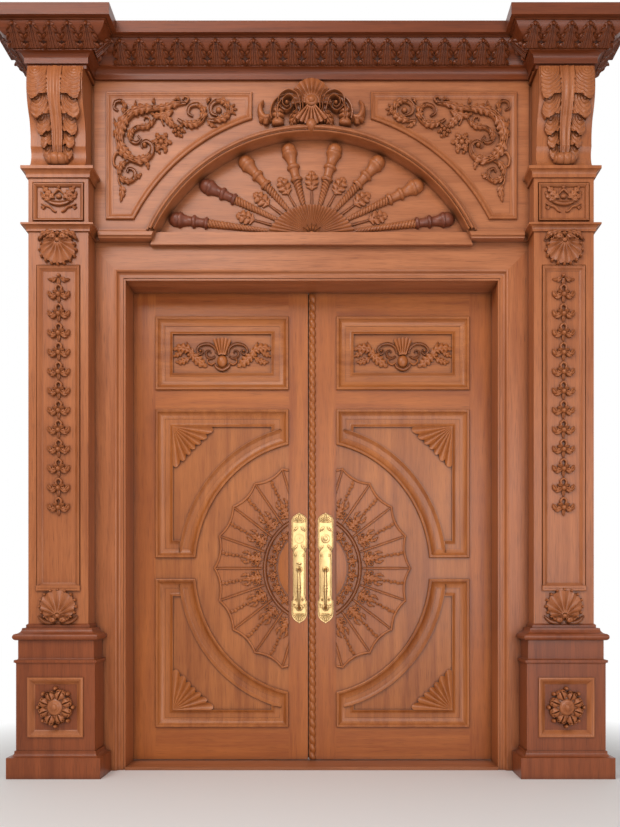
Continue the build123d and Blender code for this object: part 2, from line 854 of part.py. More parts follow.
def make_cartouche():
    # fluted shell over an oval boss, with scrolls and curled leaves; sizes are shares of its height
    y = -frieze_front
    unit = cartouche_h
    mid = cartouche_low + 0.56 * unit
    top = cartouche_low + unit
    half = cartouche_w / 2
    proud = archivolt_front - frieze_front + cartouche_lap
    shell = (Pos(0, mid + 0.075 * unit) * Circle(cartouche_shell_w / 2)) & rect(-half, half, mid + 0.075 * unit, top)
    body = raised(shell, y, proud * 0.7)
    body += raised(Pos(0, mid - 0.06 * unit) * Ellipse(0.2 * cartouche_w, 0.25 * unit), y, proud * 0.6)
    body += raised(Pos(0, mid) * Ellipse(cartouche_boss_rx, cartouche_boss_rz), y, proud)
    palm = Pos(0, cartouche_low + 0.2 * unit) * Ellipse(0.12 * cartouche_w, 0.2 * unit)
    body += raised(palm, y, proud)
    scroll_r = 0.134 * unit
    wing = raised(Pos(0.41 * half, mid + 0.03 * unit) * Circle(scroll_r), y, proud * 0.5)
    wing += raised(Pos(0.44 * half, mid - 0.21 * unit) * Circle(0.108 * unit), y, proud * 0.5)
    upper_leaf = Rot(0, 0, -64) * leaf_blade(0.26 * unit, 0.165 * unit)
    wing += raised(Pos(0.41 * half + 0.7073 * scroll_r, mid + 0.03 * unit) * upper_leaf, y, proud * 0.6)
    outer_leaf = Rot(0, 0, -95) * leaf_blade(0.59 * half, 0.17 * unit)
    wing += raised(Pos(0.41 * half, mid - 0.224 * unit) * outer_leaf, y, proud * 0.6)
    wing += raised(rect(0.16 * half, 0.44 * half, mid - 0.164 * unit, mid + 0.015 * unit), y, proud * 0.5)
    body = body + wing + flipped(wing)
    arch = raised(arch_disc(arch_r + archivolt_w), casing_t, casing_t + archivolt_front)
    return Part() + (body - arch).solids()


# Carved pieces on the pilasters
def make_shell(width, height, hang):
    # scallop shell: hub at the bottom when standing, at the top when hanging
    half = width / 2
    blade = outline((half * 0.3, 0), [(half, height * 0.6, -0.1), (0, height, -0.32), (-half, height * 0.6, -0.32),
                                      (-half * 0.3, 0, -0.1)])
    body = grown(blade, shell_t, 8)
    angle = 110 / shell_flutes
    rim = height * math.tan(math.radians(angle / 2)) * 1.05
    for i in range(shell_flutes):
        turn = math.radians(35 + (i + 0.5) * angle)
        ray = Plane(origin=(0, -height * 0.08, shell_t + 2), z_dir=(math.cos(turn), math.sin(turn), 0))
        tool = Cone(1.5, rim, height * 1.3, align=(Align.CENTER, Align.CENTER, Align.MIN))
        body -= ray * tool
    if hang:
        body = Rot(0, 0, 180) * body
    return body


def make_bellflower():
    side = Rot(0, 0, 34) * leaf_blade(flower_h * 0.9, flower_w * 0.36)
    other = Rot(0, 0, -34) * leaf_blade(flower_h * 0.9, flower_w * 0.36)
    flower = grown(side, flower_t * 0.6, 24) + grown(other, flower_t * 0.6, 24)
    return Rot(0, 0, 180) * (flower + grown(leaf_blade(flower_h, flower_w * 0.36), flower_t, 24))


def make_rosette(width, height, thick, petals):
    body = grown(Ellipse(width * 0.16, height * 0.16), thick * 1.3, 12)
    for i in range(petals):
        angle = 360 * i / petals
        reach = (width + height) / 4
        petal = Rot(0, 0, angle) * leaf_blade(reach, reach * 0.62)
        body += grown(petal, thick, 24)
    return body


# Leaves
def hinge_heights():
    low = leaf_low + hinge_inset
    high = leaf_high - hinge_inset
    return [low, (low + high) / 2, high]


def make_leaf_frame(meet):
    # framing of a right-hand leaf; meet is the X of its meeting edge
    hinge_stile = slab(stile_x, leaf_edge, leaf_front, leaf_back, leaf_low, leaf_high)
    for z in hinge_heights():
        low = z - hinge_len / 2
        inner = leaf_edge - hinge_plate_t
        hinge_stile -= slab(inner, leaf_edge, leaf_back - hinge_plate_w, leaf_back, low, low + hinge_len)
    meeting_stile = slab(meet, meeting_stile_w, leaf_front, leaf_back, leaf_low, leaf_high)
    bottom = slab(meeting_stile_w, stile_x, leaf_front, leaf_back, leaf_low, group_low)
    middle = slab(meeting_stile_w, stile_x, leaf_front, leaf_back, group_high, upper_low)
    top = slab(meeting_stile_w, stile_x, leaf_front, leaf_back, upper_high, leaf_high)
    return hinge_stile, meeting_stile, [bottom, middle, top]


def upper_face(inset):
    return rect(meeting_stile_w + inset, stile_x - inset, upper_low + inset, upper_high - inset)


def burst_disc(rx, rz):
    return Pos(0, burst_z) * Ellipse(rx, rz)


def group_face():
    return rect(meeting_stile_w, stile_x, group_low, group_high)


def corner_face(inset, upper):
    half_band = cross_band_h / 2
    if upper:
        face = rect(meeting_stile_w + inset, stile_x - inset, burst_z + half_band + inset, group_high - inset)
    else:
        face = rect(meeting_stile_w + inset, stile_x - inset, group_low + inset, burst_z - half_band - inset)
    return face - burst_disc(burst_frame_rx + inset, burst_frame_rz + inset)


def framed_panel(face_at):
    # sunk board, bolection round its edge and a raised frame inside a groove
    sunk = leaf_front + panel_sunk
    board = raised(face_at(0), sunk + panel_t, panel_t)
    wide = raised(face_at(0) - face_at(bolection_w), sunk, panel_sunk + bolection_proud * 0.5)
    inset = (bolection_w - bolection_bead_w) / 2
    bead = raised(face_at(inset) - face_at(bolection_w - inset), sunk, panel_sunk + bolection_proud)
    first = bolection_w + groove_w
    inner = raised(face_at(first) - face_at(first + inner_frame_w), sunk, panel_sunk + inner_frame_proud)
    return board + wide + bead + inner


def field_inset():
    return bolection_w + groove_w + inner_frame_w


def make_burst_board():
    half_band = cross_band_h / 2
    band = rect(meeting_stile_w, stile_x, burst_z - half_band, burst_z + half_band)
    face = (burst_disc(burst_frame_rx, burst_frame_rz) + band) & group_face()
    return raised(face, leaf_front + burst_board_t, burst_board_t)


def burst_point(angle, share_x, share_z):
    return (share_x * math.cos(angle), burst_z + share_z * math.sin(angle))


def burst_outline():
    # scalloped edge: cusps reach the full ellipse and the edge dips between them
    step = math.radians(180 / burst_steps)
    edges = []
    for i in range(burst_steps):
        a = burst_point(-math.pi / 2 + i * step, burst_rx, burst_rz)
        b = burst_point(-math.pi / 2 + (i + 1) * step, burst_rx, burst_rz)
        dip = -math.pi / 2 + (i + 0.5) * step
        m = burst_point(dip, burst_rx - cusp_depth, burst_rz - cusp_depth)
        edges.append(ThreePointArc(a, m, b))
    edges.append(Line((0, burst_z + burst_rz), (0, burst_z - burst_rz)))
    return make_face(edges)


def make_sunburst():
    keep = group_face()
    body = raised(burst_outline() & keep, leaf_front, burst_proud)
    ring = burst_disc(burst_ring_rx, burst_ring_rz)
    hole = burst_disc(burst_ring_rx - burst_ring_w, burst_ring_rz - burst_ring_w)
    body += raised((ring - hole) & keep, leaf_front, burst_ring_proud)
    core = scale(Sphere(1), by=(burst_core_rx, burst_core_proud, burst_core_rz))
    body += Pos(0, leaf_front, burst_z) * core & raised(keep, leaf_front, 100)
    step = math.radians(180 / burst_steps)
    clip = raised(keep, leaf_front, 100)
    carving = []
    for i in range(1, burst_steps):
        angle = -math.pi / 2 + i * step
        carving += [burst_rib(angle, -1) & clip, burst_rib(angle, 1) & clip]
    for i in range(burst_steps):
        angle = -math.pi / 2 + (i + 0.5) * step
        for k in range(husk_count):
            x, z, size = husk_place(angle, k)
            if x - 2 * size > meeting_stile_w:
                carving.append(burst_husk(angle, k))
    return body + carving


def burst_rib(angle, side):
    inner = burst_point(angle, burst_ring_rx, burst_ring_rz)
    outer = burst_point(angle, burst_rx - 8, burst_rz - 8)
    along = Vector(outer[0] - inner[0], outer[1] - inner[1])
    length = along.length
    turn = math.degrees(math.atan2(along.Y, along.X))
    bar = rect(0, length, side * rib_gap - rib_w / 2, side * rib_gap + rib_w / 2)
    return raised(Pos(inner[0], inner[1]) * Rot(0, 0, turn) * bar, leaf_front, rib_proud)


def husk_place(angle, k):
    share = (k + 1.2) / (husk_count + 1.2)
    rx = burst_ring_rx + (burst_rx - cusp_depth - burst_ring_rx) * share
    rz = burst_ring_rz + (burst_rz - cusp_depth - burst_ring_rz) * share
    x, z = burst_point(angle, rx, rz)
    return x, z, husk_r * (0.8 + 0.5 * share)


def burst_husk(angle, k):
    x, z, size = husk_place(angle, k)
    turn = math.degrees(angle) - 90
    blade = Pos(x, z) * Rot(0, 0, turn) * Pos(0, -size * 1.5) * leaf_blade(size * 3, size * 1.6)
    return raised(blade, leaf_front, rib_proud * 0.8)


def make_corner_fan(upper):
    # fan of flutes in the outer corner, its edge flatter than a circle
    inset = field_inset()
    x = stile_x - inset
    z = group_high - inset if upper else group_low + inset
    start = 180 if upper else 90
    y = leaf_front + panel_sunk
    middle = corner_fan_middle_r * math.sqrt(0.5)
    edge = ThreePointArc((corner_fan_r, 0), (middle, middle), (0, corner_fan_r))
    face = make_face([edge, Line((0, corner_fan_r), (0, 0)), Line((0, 0), (corner_fan_r, 0))])
    quarter = (Pos(x, z) * Rot(0, 0, start) * face) & corner_face(inset, upper)
    body = raised(quarter, y, corner_fan_t)
    rim = corner_fan_r * math.tan(math.radians(45 / corner_fan_flutes)) * 0.62
    return fluted(body, x, z, y - corner_fan_t, corner_fan_r + 8, rim, corner_fan_flutes, start, 90)


def make_upper_relief():
    # central shell with scrolls and leaves on each side, as shares of half the panel's field
    x = (meeting_stile_w + stile_x) / 2
    z = (upper_low + upper_high) / 2
    y = leaf_front + panel_sunk
    field_x = (stile_x - meeting_stile_w) / 2 - field_inset()
    field_z = (upper_high - upper_low) / 2 - field_inset()
    unit = min(field_x, field_z * 2.54)
    low = z - 0.16 * unit
    hub = (Pos(x, low) * Circle(0.25 * unit)) & rect(x - unit, x + unit, low, z + unit)
    body = raised(hub, y, 20)
    body = fluted(body, x, low - 4, y - 20, 0.3 * unit, 0.044 * unit, 7, 0, 180)
    body += raised(Pos(x, low) * Ellipse(0.16 * unit, 0.19 * unit), y, 17)
    face = volute(0.39 * unit, 0.05 * unit, 0.12 * unit, 0, 1, 0.048 * unit)
    face += volute(0.39 * unit, -0.17 * unit, 0.09 * unit, 20, -1, 0.04 * unit)
    face += volute(0.67 * unit, -0.08 * unit, 0.11 * unit, 180, -1, 0.044 * unit)
    face += Pos(0.7 * unit, 0.06 * unit) * Rot(0, 0, -78) * leaf_blade(0.28 * unit, 0.14 * unit)
    face += Pos(0.6 * unit, 0.12 * unit) * Rot(0, 0, 10) * leaf_blade(0.18 * unit, 0.1 * unit)
    face += rect(0.1 * unit, 0.77 * unit, -0.14 * unit, -0.08 * unit)
    face += mirror(face, about=Plane.YZ)
    return body + raised(Pos(x, z) * face, y, 15)


def make_astragal():
    # half-round strip planted on the right-hand leaf over the meeting line
    edges = [Line((-strip_half, 0), (strip_half, 0)), Line((strip_half, 0), (strip_half, 4))]
    edges += bend((strip_half, 4), (-strip_half, 4), (4 - strip_proud) / (2 * strip_half))
    edges.append(Line((-strip_half, 4), (-strip_half, 0)))
    plane = Plane(origin=(0, leaf_front, leaf_low), x_dir=(-1, 0, 0), z_dir=(0, 0, 1))
    return extrude(plane * make_face(edges), amount=leaf_high - leaf_low - rebate, dir=(0, 0, 1))


# Door furniture
def plate_face():
    half = plate_w / 2
    waist = plate_waist / 2
    low = plate_low
    high = plate_high
    edges = [Line((0, low), (5, low + 6))]
    edges += bend((5, low + 6), (half, low + 53), -0.16)
    edges.append(Line((half, low + 53), (half, low + 113)))
    edges += bend((half, low + 113), (waist, low + 137), 0.2)
    edges.append(Line((waist, low + 137), (waist, high - 200)))
    edges += bend((waist, high - 200), (half, high - 177), 0.2)
    edges.append(Line((half, high - 177), (half, high - 43)))
    edges += bend((half, high - 43), (7, high - 8), -0.19)
    edges.append(Line((7, high - 8), (0, high)))
    edges.append(Line((0, high), (0, low)))
    face = make_face(edges)
    return face + mirror(face, about=Plane.YZ)


def make_handle_plate(active):
    body = Pos(plate_x, 0, 0) * raised(plate_face(), leaf_front, plate_t)
    if active:
        y = leaf_front - plate_t / 2
        body -= bore_at(plate_x, y, cylinder_z, plug_r + plug_clear, plate_t * 2)
        half = thumb_w / 6 + thumb_clear
        body -= slab(plate_x - half, plate_x + half, leaf_front - plate_t - 1, leaf_front + 1, thumb_z - 9, thumb_z + 9)
    return body


def bore_at(x, y, z, radius, length):
    return Pos(x, y, z) * Rot(90, 0, 0) * Cylinder(radius, length)


def make_grip():
    y0 = leaf_front - plate_t
    y1 = y0 - grip_reach
    path = FilletPolyline((0, y0, grip_low), (0, y1, grip_low), (0, y1, grip_high), (0, y0, grip_high), radius=24)
    section = Plane(origin=(0, y0, grip_low), z_dir=(0, -1, 0)) * Circle(grip_r)
    bar = sweep(section, path=path)
    for z in (grip_low, grip_high):
        bar += Pos(0, y0 - 3, z) * Rot(90, 0, 0) * Cylinder(grip_r + 5, 6)
    return Pos(plate_x, 0, 0) * bar


def make_thumb_piece():
    # rocks on a pivot just in front of the plate; its tail passes through the slot
    half = thumb_w / 6
    y0 = leaf_front - plate_t
    y1 = y0 - 8
    tail = slab(-half, half, y1, leaf_front + 10, thumb_z - thumb_t / 2, thumb_z + thumb_t / 2)
    pivot = Pos(0, y1, thumb_z) * Rot(0, 90, 0) * Cylinder(4, thumb_w * 0.6)
    blade = outline((-half, 0), [(-thumb_w / 2, thumb_reach * 0.6, 0.1), (thumb_w / 2, thumb_reach * 0.6, 0.45),
                                 (half, 0, 0.1)])
    paddle = extrude(Plane(origin=(0, y1, thumb_z - thumb_t / 2), x_dir=(-1, 0, 0), z_dir=(0, 0, 1)) * blade, amount=thumb_t)
    return Pos(plate_x, 0, 0) * (tail + pivot + paddle)


def make_cylinder_ring():
    y = leaf_front - plate_t
    ring = bore_at(plate_x, y - cylinder_ring_t / 2, cylinder_z, cylinder_ring_r, cylinder_ring_t)
    return ring - bore_at(plate_x, y, cylinder_z, plug_r + plug_clear, 4 * cylinder_ring_t)


def make_lock_plug():
    y0 = leaf_front - plate_t - cylinder_ring_t - 1
    y1 = leaf_back + inside_plate_t + 3
    plug = bore_at(plate_x, (y0 + y1) / 2, cylinder_z, plug_r, y1 - y0)
    plug -= slab(plate_x - 1, plate_x + 1, y0 - 1, y0 + 10, cylinder_z - 4, cylinder_z + 4)
    turn = slab(plate_x - 4, plate_x + 4, y1, y1 + 22, cylinder_z - 17, cylinder_z + 17)
    return plug + turn


def make_lock_case():
    x0 = leaf_meet_left
    x1 = x0 + case_depth
    y0 = leaf_mid_y - case_t / 2
    y1 = leaf_mid_y + case_t / 2
    body = slab(x0, x1, y0, y1, case_low, case_high)
    inner = slab(x0 + case_wall, x1 - case_wall, y0 + case_wall, y1 - case_wall, case_low + case_wall, case_high - case_wall)
    body -= inner
    body -= bolt_bar(x0 - 1, x0 + 5, latch_z, latch_h, latch_t, bolt_clear)
    body -= bolt_bar(x0 - 1, x0 + 5, dead_z, dead_h, dead_t, bolt_clear)
    body -= bore_at(plate_x, leaf_mid_y, cylinder_z, plug_r + plug_clear, case_t * 2)
    return body - bore_at(lever_x, leaf_mid_y, lever_z, lever_r + plug_clear, case_t * 2)


def bolt_bar(x0, x1, z, height, thick, clear):
    half = height / 2 + clear
    side = thick / 2 + clear
    return slab(x0, x1, leaf_mid_y - side, leaf_mid_y + side, z - half, z + half)


def make_latch_bolt():
    x0 = leaf_meet_left
    bar = bolt_bar(x0, x0 + latch_len, latch_z, latch_h, latch_t, 0)
    bevel = Pos(x0, leaf_mid_y - latch_t / 2, latch_z) * Rot(0, 0, 35) * Box(12, 8, latch_h + 2)
    return bar - bevel


def make_dead_bolt():
    x0 = leaf_meet_left
    return bolt_bar(x0, x0 + dead_len, dead_z, dead_h, dead_t, 0)


def strike_pocket(z, height, thick, throw):
    half = height / 2 + 1.5
    side = thick / 2 + 1.5
    depth = throw - meeting_gap + 2
    return slab(-strip_half - 1, -strip_half + depth, leaf_mid_y - side, leaf_mid_y + side, z - half, z + half)


def strike_slab():
    low = latch_z - 40
    high = dead_z + 40
    half = strike_w / 2
    return slab(-strip_half, -strip_half + strike_t, leaf_mid_y - half, leaf_mid_y + half, low, high)


def make_strike():
    body = strike_slab() - strike_pocket(latch_z, latch_h, latch_t, latch_throw)
    return body - strike_pocket(dead_z, dead_h, dead_t, dead_throw)


def make_inside_plate():
    low = cylinder_z - 190
    high = cylinder_z + 60
    half = inside_plate_w / 2
    middle = (plate_x + lever_x) / 2
    face = rect(middle - half, middle + half, low, high)
    body = raised(face, leaf_back + inside_plate_t, inside_plate_t)
    y = leaf_back + inside_plate_t / 2
    body -= bore_at(plate_x, y, cylinder_z, plug_r + plug_clear, inside_plate_t * 3)
    return body - bore_at(lever_x, y, lever_z, lever_r + plug_clear, inside_plate_t * 3)


def make_inside_lever():
    y0 = leaf_mid_y - case_t / 2 + case_wall
    y1 = leaf_back + inside_plate_t + lever_reach
    spindle = bore_at(lever_x, (y0 + y1) / 2, lever_z, lever_r, y1 - y0)
    rose_y = leaf_back + inside_plate_t
    collar = bore_at(lever_x, rose_y + 0.5 + 4, lever_z, lever_r + 6, 8)
    grip = Pos(lever_x, y1, lever_z) * Rot(0, 90, 0) * Cylinder(lever_grip_r, lever_len, align=(Align.CENTER, Align.CENTER, Align.MIN))
    end = Pos(lever_x, y1, lever_z) * Sphere(lever_grip_r)
    return spindle + collar + grip + end


def flush_bore(top):
    length = flush_len + flush_throw + 2
    base = leaf_high - length / 2 if top else leaf_low + length / 2
    return Pos(-flush_x, leaf_mid_y, base) * Cylinder(flush_r + flush_clear, length + 0.01)


def make_flush_bolt(top):
    base = leaf_high - flush_len / 2 if top else leaf_low + flush_len / 2
    return Pos(-flush_x, leaf_mid_y, base) * Cylinder(flush_r, flush_len)


# Hinges: three to a leaf, knuckles shared on one pin
def knuckle_spans():
    pitch = hinge_len / 5
    return [(k, -hinge_len / 2 + k * pitch, pitch - knuckle_gap) for k in range(5)]


def make_frame_hinge(z):
    low = z - hinge_len / 2
    face = half_w + rebate
    body = slab(face, face + hinge_plate_t, leaf_back - hinge_plate_w, leaf_back, low, low + hinge_len)
    for k, start, length in knuckle_spans():
        if k % 2 == 0:
            mid = z + start + length / 2
            body += slab(face, face + hinge_plate_t, leaf_back, pin_y, z + start, z + start + length)
            body += Pos(pin_x, pin_y, mid) * Cylinder(barrel_r, length)
    return body + Pos(pin_x, pin_y, z) * Cylinder(pin_r, hinge_len)


def make_leaf_hinge(z):
    low = z - hinge_len / 2
    inner = leaf_edge - hinge_plate_t
    body = slab(inner, leaf_edge, leaf_back - hinge_plate_w, leaf_back, low, low + hinge_len)
    for k, start, length in knuckle_spans():
        if k % 2 == 1:
            mid = z + start + length / 2
            body += slab(inner, leaf_edge, leaf_back, pin_y, z + start, z + start + length)
            body += Pos(pin_x, pin_y, mid) * Cylinder(barrel_r, length)
    return body - Pos(pin_x, pin_y, z) * Cylinder(pin_r + pin_clear, hinge_len)


def save(name, shapes):
    solids = []
    for shape in shapes:
        for solid in shape.solids():
            solids.append(Pos(0, shift_y, 0) * solid)
    export_step(Compound(children=solids), "parts/" + name + ".step")


os.makedirs("parts", exist_ok=True)
save("threshold", [make_threshold()])
save("jambs", pair(make_jamb()))
save("head_jamb", [make_head()])
save("architrave_sides", pair(make_architrave_side()))
save("architrave_head", [make_architrave_head()])

save("pedestals", pair(make_pedestal()))
save("pilasters", pair(make_pilaster()))
upper = make_upper_block()
save("upper_blocks", upper + [flipped(piece) for piece in upper])
save("consoles", pair(make_console()))
save("acanthus_leaves", pair(make_acanthus()))
block = make_cornice_block()
save("cornice_blocks", pair(block))
save("cornice_centre", [make_cornice_centre(block)])

save("frieze_board", [make_frieze_board()])
save("tympanum", [make_tympanum()])
save("archivolt", [make_archivolt()])
save("frieze_mouldings", pair(make_lower_mould()))
save("lunette_sill", [make_sill()])
save("spandrel_frames", pair(make_spandrel_frame()))
save("spandrel_scrolls", pair(make_spandrel_scroll()))
save("sunburst_fan", [make_fan()])
torches = []
buds = []
for i in range(torch_count):
    angle = spoke_angle(2 * i)
    torches += pair(placed_on_lunette(make_torch(angle), angle))
    angle = spoke_angle(2 * i + 1)
    bud = placed_on_lunette(make_bud(angle), angle)
    buds += [bud] if i == torch_count - 1 else pair(bud)
save("torches", torches)
save("leaf_buds", buds)
save("cartouche", [make_cartouche()])

panel_y = panel_sink - shaft_front
shell_low = front(panel_y) * Pos(shaft_x, z_shaft + shaft_panel_low - shell_low_h - 4) * make_shell(shell_w, shell_low_h, False)
shell_high = front(panel_y) * Pos(shaft_x, entablature_z - 4) * make_shell(shell_w, shell_high_h, True)
save("shaft_shells", pair(Pos(0, -panel_sink, 0) * shell_low) + pair(Pos(0, -panel_sink, 0) * shell_high))
festoon = []
for i in range(flower_count):
    z = entablature_z - shaft_panel_high - 80 - i * flower_pitch
    festoon += (front(panel_y) * Pos(shaft_x, z) * make_bellflower()).solids()
save("festoons", festoon + [flipped(flower) for flower in festoon])
die_y = panel_sink - shaft_front - die_out
rosette = front(die_y) * Pos(shaft_x, z_die + die_h / 2) * make_rosette(rosette_w, rosette_h, 14, 8)
save("pedestal_rosettes", pair(rosette))
relief_z = z_block + block_panel_lift + block_panel_h / 2
relief = front(panel_y) * Pos(shaft_x, relief_z) * make_rosette(block_panel_w - 70, block_panel_h - 35, 14, 10)
save("block_reliefs", pair(relief))

hinge_stile, meeting_stile, rails = make_leaf_frame(leaf_meet_left)
case_space = slab(leaf_meet_left, leaf_meet_left + case_depth, leaf_mid_y - case_t / 2, leaf_mid_y + case_t / 2, case_low, case_high)
meeting_stile -= case_space
meeting_stile -= bore_at(plate_x, leaf_mid_y, cylinder_z, plug_r + plug_clear, leaf_t * 2)
meeting_stile -= Pos(lever_x, leaf_back, lever_z) * Rot(90, 0, 0) * Cylinder(lever_r + plug_clear, leaf_t)
slot_half = thumb_w / 6 + thumb_clear
meeting_stile -= slab(plate_x - slot_half, plate_x + slot_half, leaf_front, leaf_front + 14, thumb_z - 10, thumb_z + 10)
left_frame = [hinge_stile, meeting_stile] + rails
save("leaf_frame_left", [flipped(piece) for piece in left_frame])

hinge_stile, meeting_stile, rails = make_leaf_frame(-strip_half)
meeting_stile -= strike_slab()
meeting_stile -= strike_pocket(latch_z, latch_h, latch_t, latch_throw)
meeting_stile -= strike_pocket(dead_z, dead_h, dead_t, dead_throw)
meeting_stile -= flush_bore(True)
meeting_stile -= flush_bore(False)
save("leaf_frame_right", [hinge_stile, meeting_stile] + rails)

upper_panel = framed_panel(upper_face)
save("upper_panel_right", [upper_panel])
save("upper_panel_left", [flipped(upper_panel)])
relief = make_upper_relief()
save("upper_relief_right", [relief])
save("upper_relief_left", [flipped(relief)])
board = make_burst_board()
save("burst_board_right", [board])
save("burst_board_left", [flipped(board)])
corners = [framed_panel(lambda inset: corner_face(inset, True)), framed_panel(lambda inset: corner_face(inset, False))]
save("corner_panels_right", corners)
save("corner_panels_left", [flipped(piece) for piece in corners])
fans = [make_corner_fan(True), make_corner_fan(False)]
save("corner_fans_right", fans)
save("corner_fans_left", [flipped(piece) for piece in fans])
burst = make_sunburst()
save("sunburst_right", [burst])
save("sunburst_left", [flipped(burst)])
save("astragal", [make_astragal()])

save("handle_plate_left", [flipped(make_handle_plate(True))])
save("handle_plate_right", [make_handle_plate(False)])
grip = make_grip()
save("grip_left", [flipped(grip)])
save("grip_right", [grip])
save("thumb_piece", [flipped(make_thumb_piece())])
save("cylinder_ring", [flipped(make_cylinder_ring())])
save("lock_plug", [flipped(make_lock_plug())])
save("lock_case", [flipped(make_lock_case())])
save("latch_bolt", [flipped(make_latch_bolt())])
save("dead_bolt", [flipped(make_dead_bolt())])
save("strike_plate", [make_strike()])
save("inside_plate", [flipped(make_inside_plate())])
save("inside_lever", [flipped(make_inside_lever())])
save("flush_bolt_top", [make_flush_bolt(True)])
save("flush_bolt_bottom", [make_flush_bolt(False)])

frame_hinges = [make_frame_hinge(z) for z in hinge_heights()]
leaf_hinges = [make_leaf_hinge(z) for z in hinge_heights()]
save("hinge_frame_leaves", frame_hinges + [flipped(hinge) for hinge in frame_hinges])
save("hinge_leaves_right", leaf_hinges)
save("hinge_leaves_left", [flipped(hinge) for hinge in leaf_hinges])
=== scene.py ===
import bpy
import math
from mathutils import Matrix, Vector


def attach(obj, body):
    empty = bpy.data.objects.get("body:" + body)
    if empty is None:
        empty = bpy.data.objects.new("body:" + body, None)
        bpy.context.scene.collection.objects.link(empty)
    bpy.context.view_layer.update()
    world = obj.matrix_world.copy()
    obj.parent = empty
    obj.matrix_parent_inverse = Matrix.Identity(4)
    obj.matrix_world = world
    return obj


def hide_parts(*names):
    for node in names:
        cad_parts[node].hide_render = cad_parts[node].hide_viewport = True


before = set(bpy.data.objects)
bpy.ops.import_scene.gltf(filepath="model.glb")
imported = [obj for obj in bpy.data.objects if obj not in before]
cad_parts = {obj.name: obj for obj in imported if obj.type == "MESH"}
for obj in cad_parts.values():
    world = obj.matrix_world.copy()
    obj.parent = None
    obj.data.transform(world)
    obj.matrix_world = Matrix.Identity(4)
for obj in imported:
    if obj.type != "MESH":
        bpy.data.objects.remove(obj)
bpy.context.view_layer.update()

# Carved double entrance door. Sizes below are in millimetres, read against the
# architrave's front face (out = 0), the floor and the middle of the doorway.
MM = 0.001
FACE = -0.009
LEAF_FACE = -193
LUNETTE_FACE = -20
FRIEZE_FACE = 20
SHAFT_FACE = 121
DIE_FACE = 163
BURST_Z = 980.5
SHAFT_X = 1180
SILL_TOP = 2578
ARCH_Z = 2213
ARCH_R = 829
HANDLE_X = 66
PLATE_FACE = LEAF_FACE + 4


def deselect():
    for thing in list(bpy.context.selected_objects):
        thing.select_set(False)
    bpy.context.view_layer.objects.active = None


def pick(*things):
    deselect()
    for thing in things:
        thing.select_set(True)
    bpy.context.view_layer.objects.active = things[0]


# ---------------------------------------------------------------- finishes
def socket(tree, name, way, kind, value=None):
    made = tree.interface.new_socket(name=name, in_out=way, socket_type=kind)
    if value is not None:
        made.default_value = value
    return made


def link(tree, a, b):
    tree.links.new(a, b)


def node(tree, kind, **settings):
    made = tree.nodes.new(kind)
    for key, value in settings.items():
        setattr(made, key, value)
    return made


def math_node(tree, operation, a, b=None, clamp=False):
    made = node(tree, "ShaderNodeMath", operation=operation, use_clamp=clamp)
    for index, value in enumerate((a, b)):
        if value is None:
            continue
        if isinstance(value, (int, float)):
            made.inputs[index].default_value = value
        else:
            link(tree, value, made.inputs[index])
    return made.outputs[0]


def fill(made, **values):
    """Set a node's inputs; an underscore in a key stands for a space in the input's name."""
    for key, value in values.items():
        made.inputs[key.replace("_", " ")].default_value = value
    return made


def mix_colour(tree, factor, a, b, blend="MIX"):
    """Blend of two colours; a mix node keeps its colours in slots 6 and 7 and its result in 2."""
    made = node(tree, "ShaderNodeMix", data_type="RGBA", blend_type=blend)
    for value, slot in ((factor, made.inputs[0]), (a, made.inputs[6]), (b, made.inputs[7])):
        if isinstance(value, (int, float, tuple)):
            slot.default_value = value
        else:
            link(tree, value, slot)
    return made.outputs[2]


def ramp(tree, value, stops):
    made = node(tree, "ShaderNodeValToRGB")
    made.color_ramp.elements[0].position = stops[0][0]
    made.color_ramp.elements[0].color = stops[0][1]
    made.color_ramp.elements[1].position = stops[-1][0]
    made.color_ramp.elements[1].color = stops[-1][1]
    for position, colour in stops[1:-1]:
        element = made.color_ramp.elements.new(position)
        element.color = colour
    link(tree, value, made.inputs[0])
    return made.outputs[0]


def grey(value):
    return (value, value, value, 1.0)


# Reach of the painted shade in recesses: for wood, then for brass and steel.
HOLLOW_REACH = 0.035
BRASS_HOLLOW_REACH = 0.008
FIBRE_BUMP = 0.12
FIBRE_DEPTH = 0.0006
# Colour of the shade painted into recesses of the wood.
RECESS_SHADE_COLOUR = (0.055, 0.014, 0.005, 1)


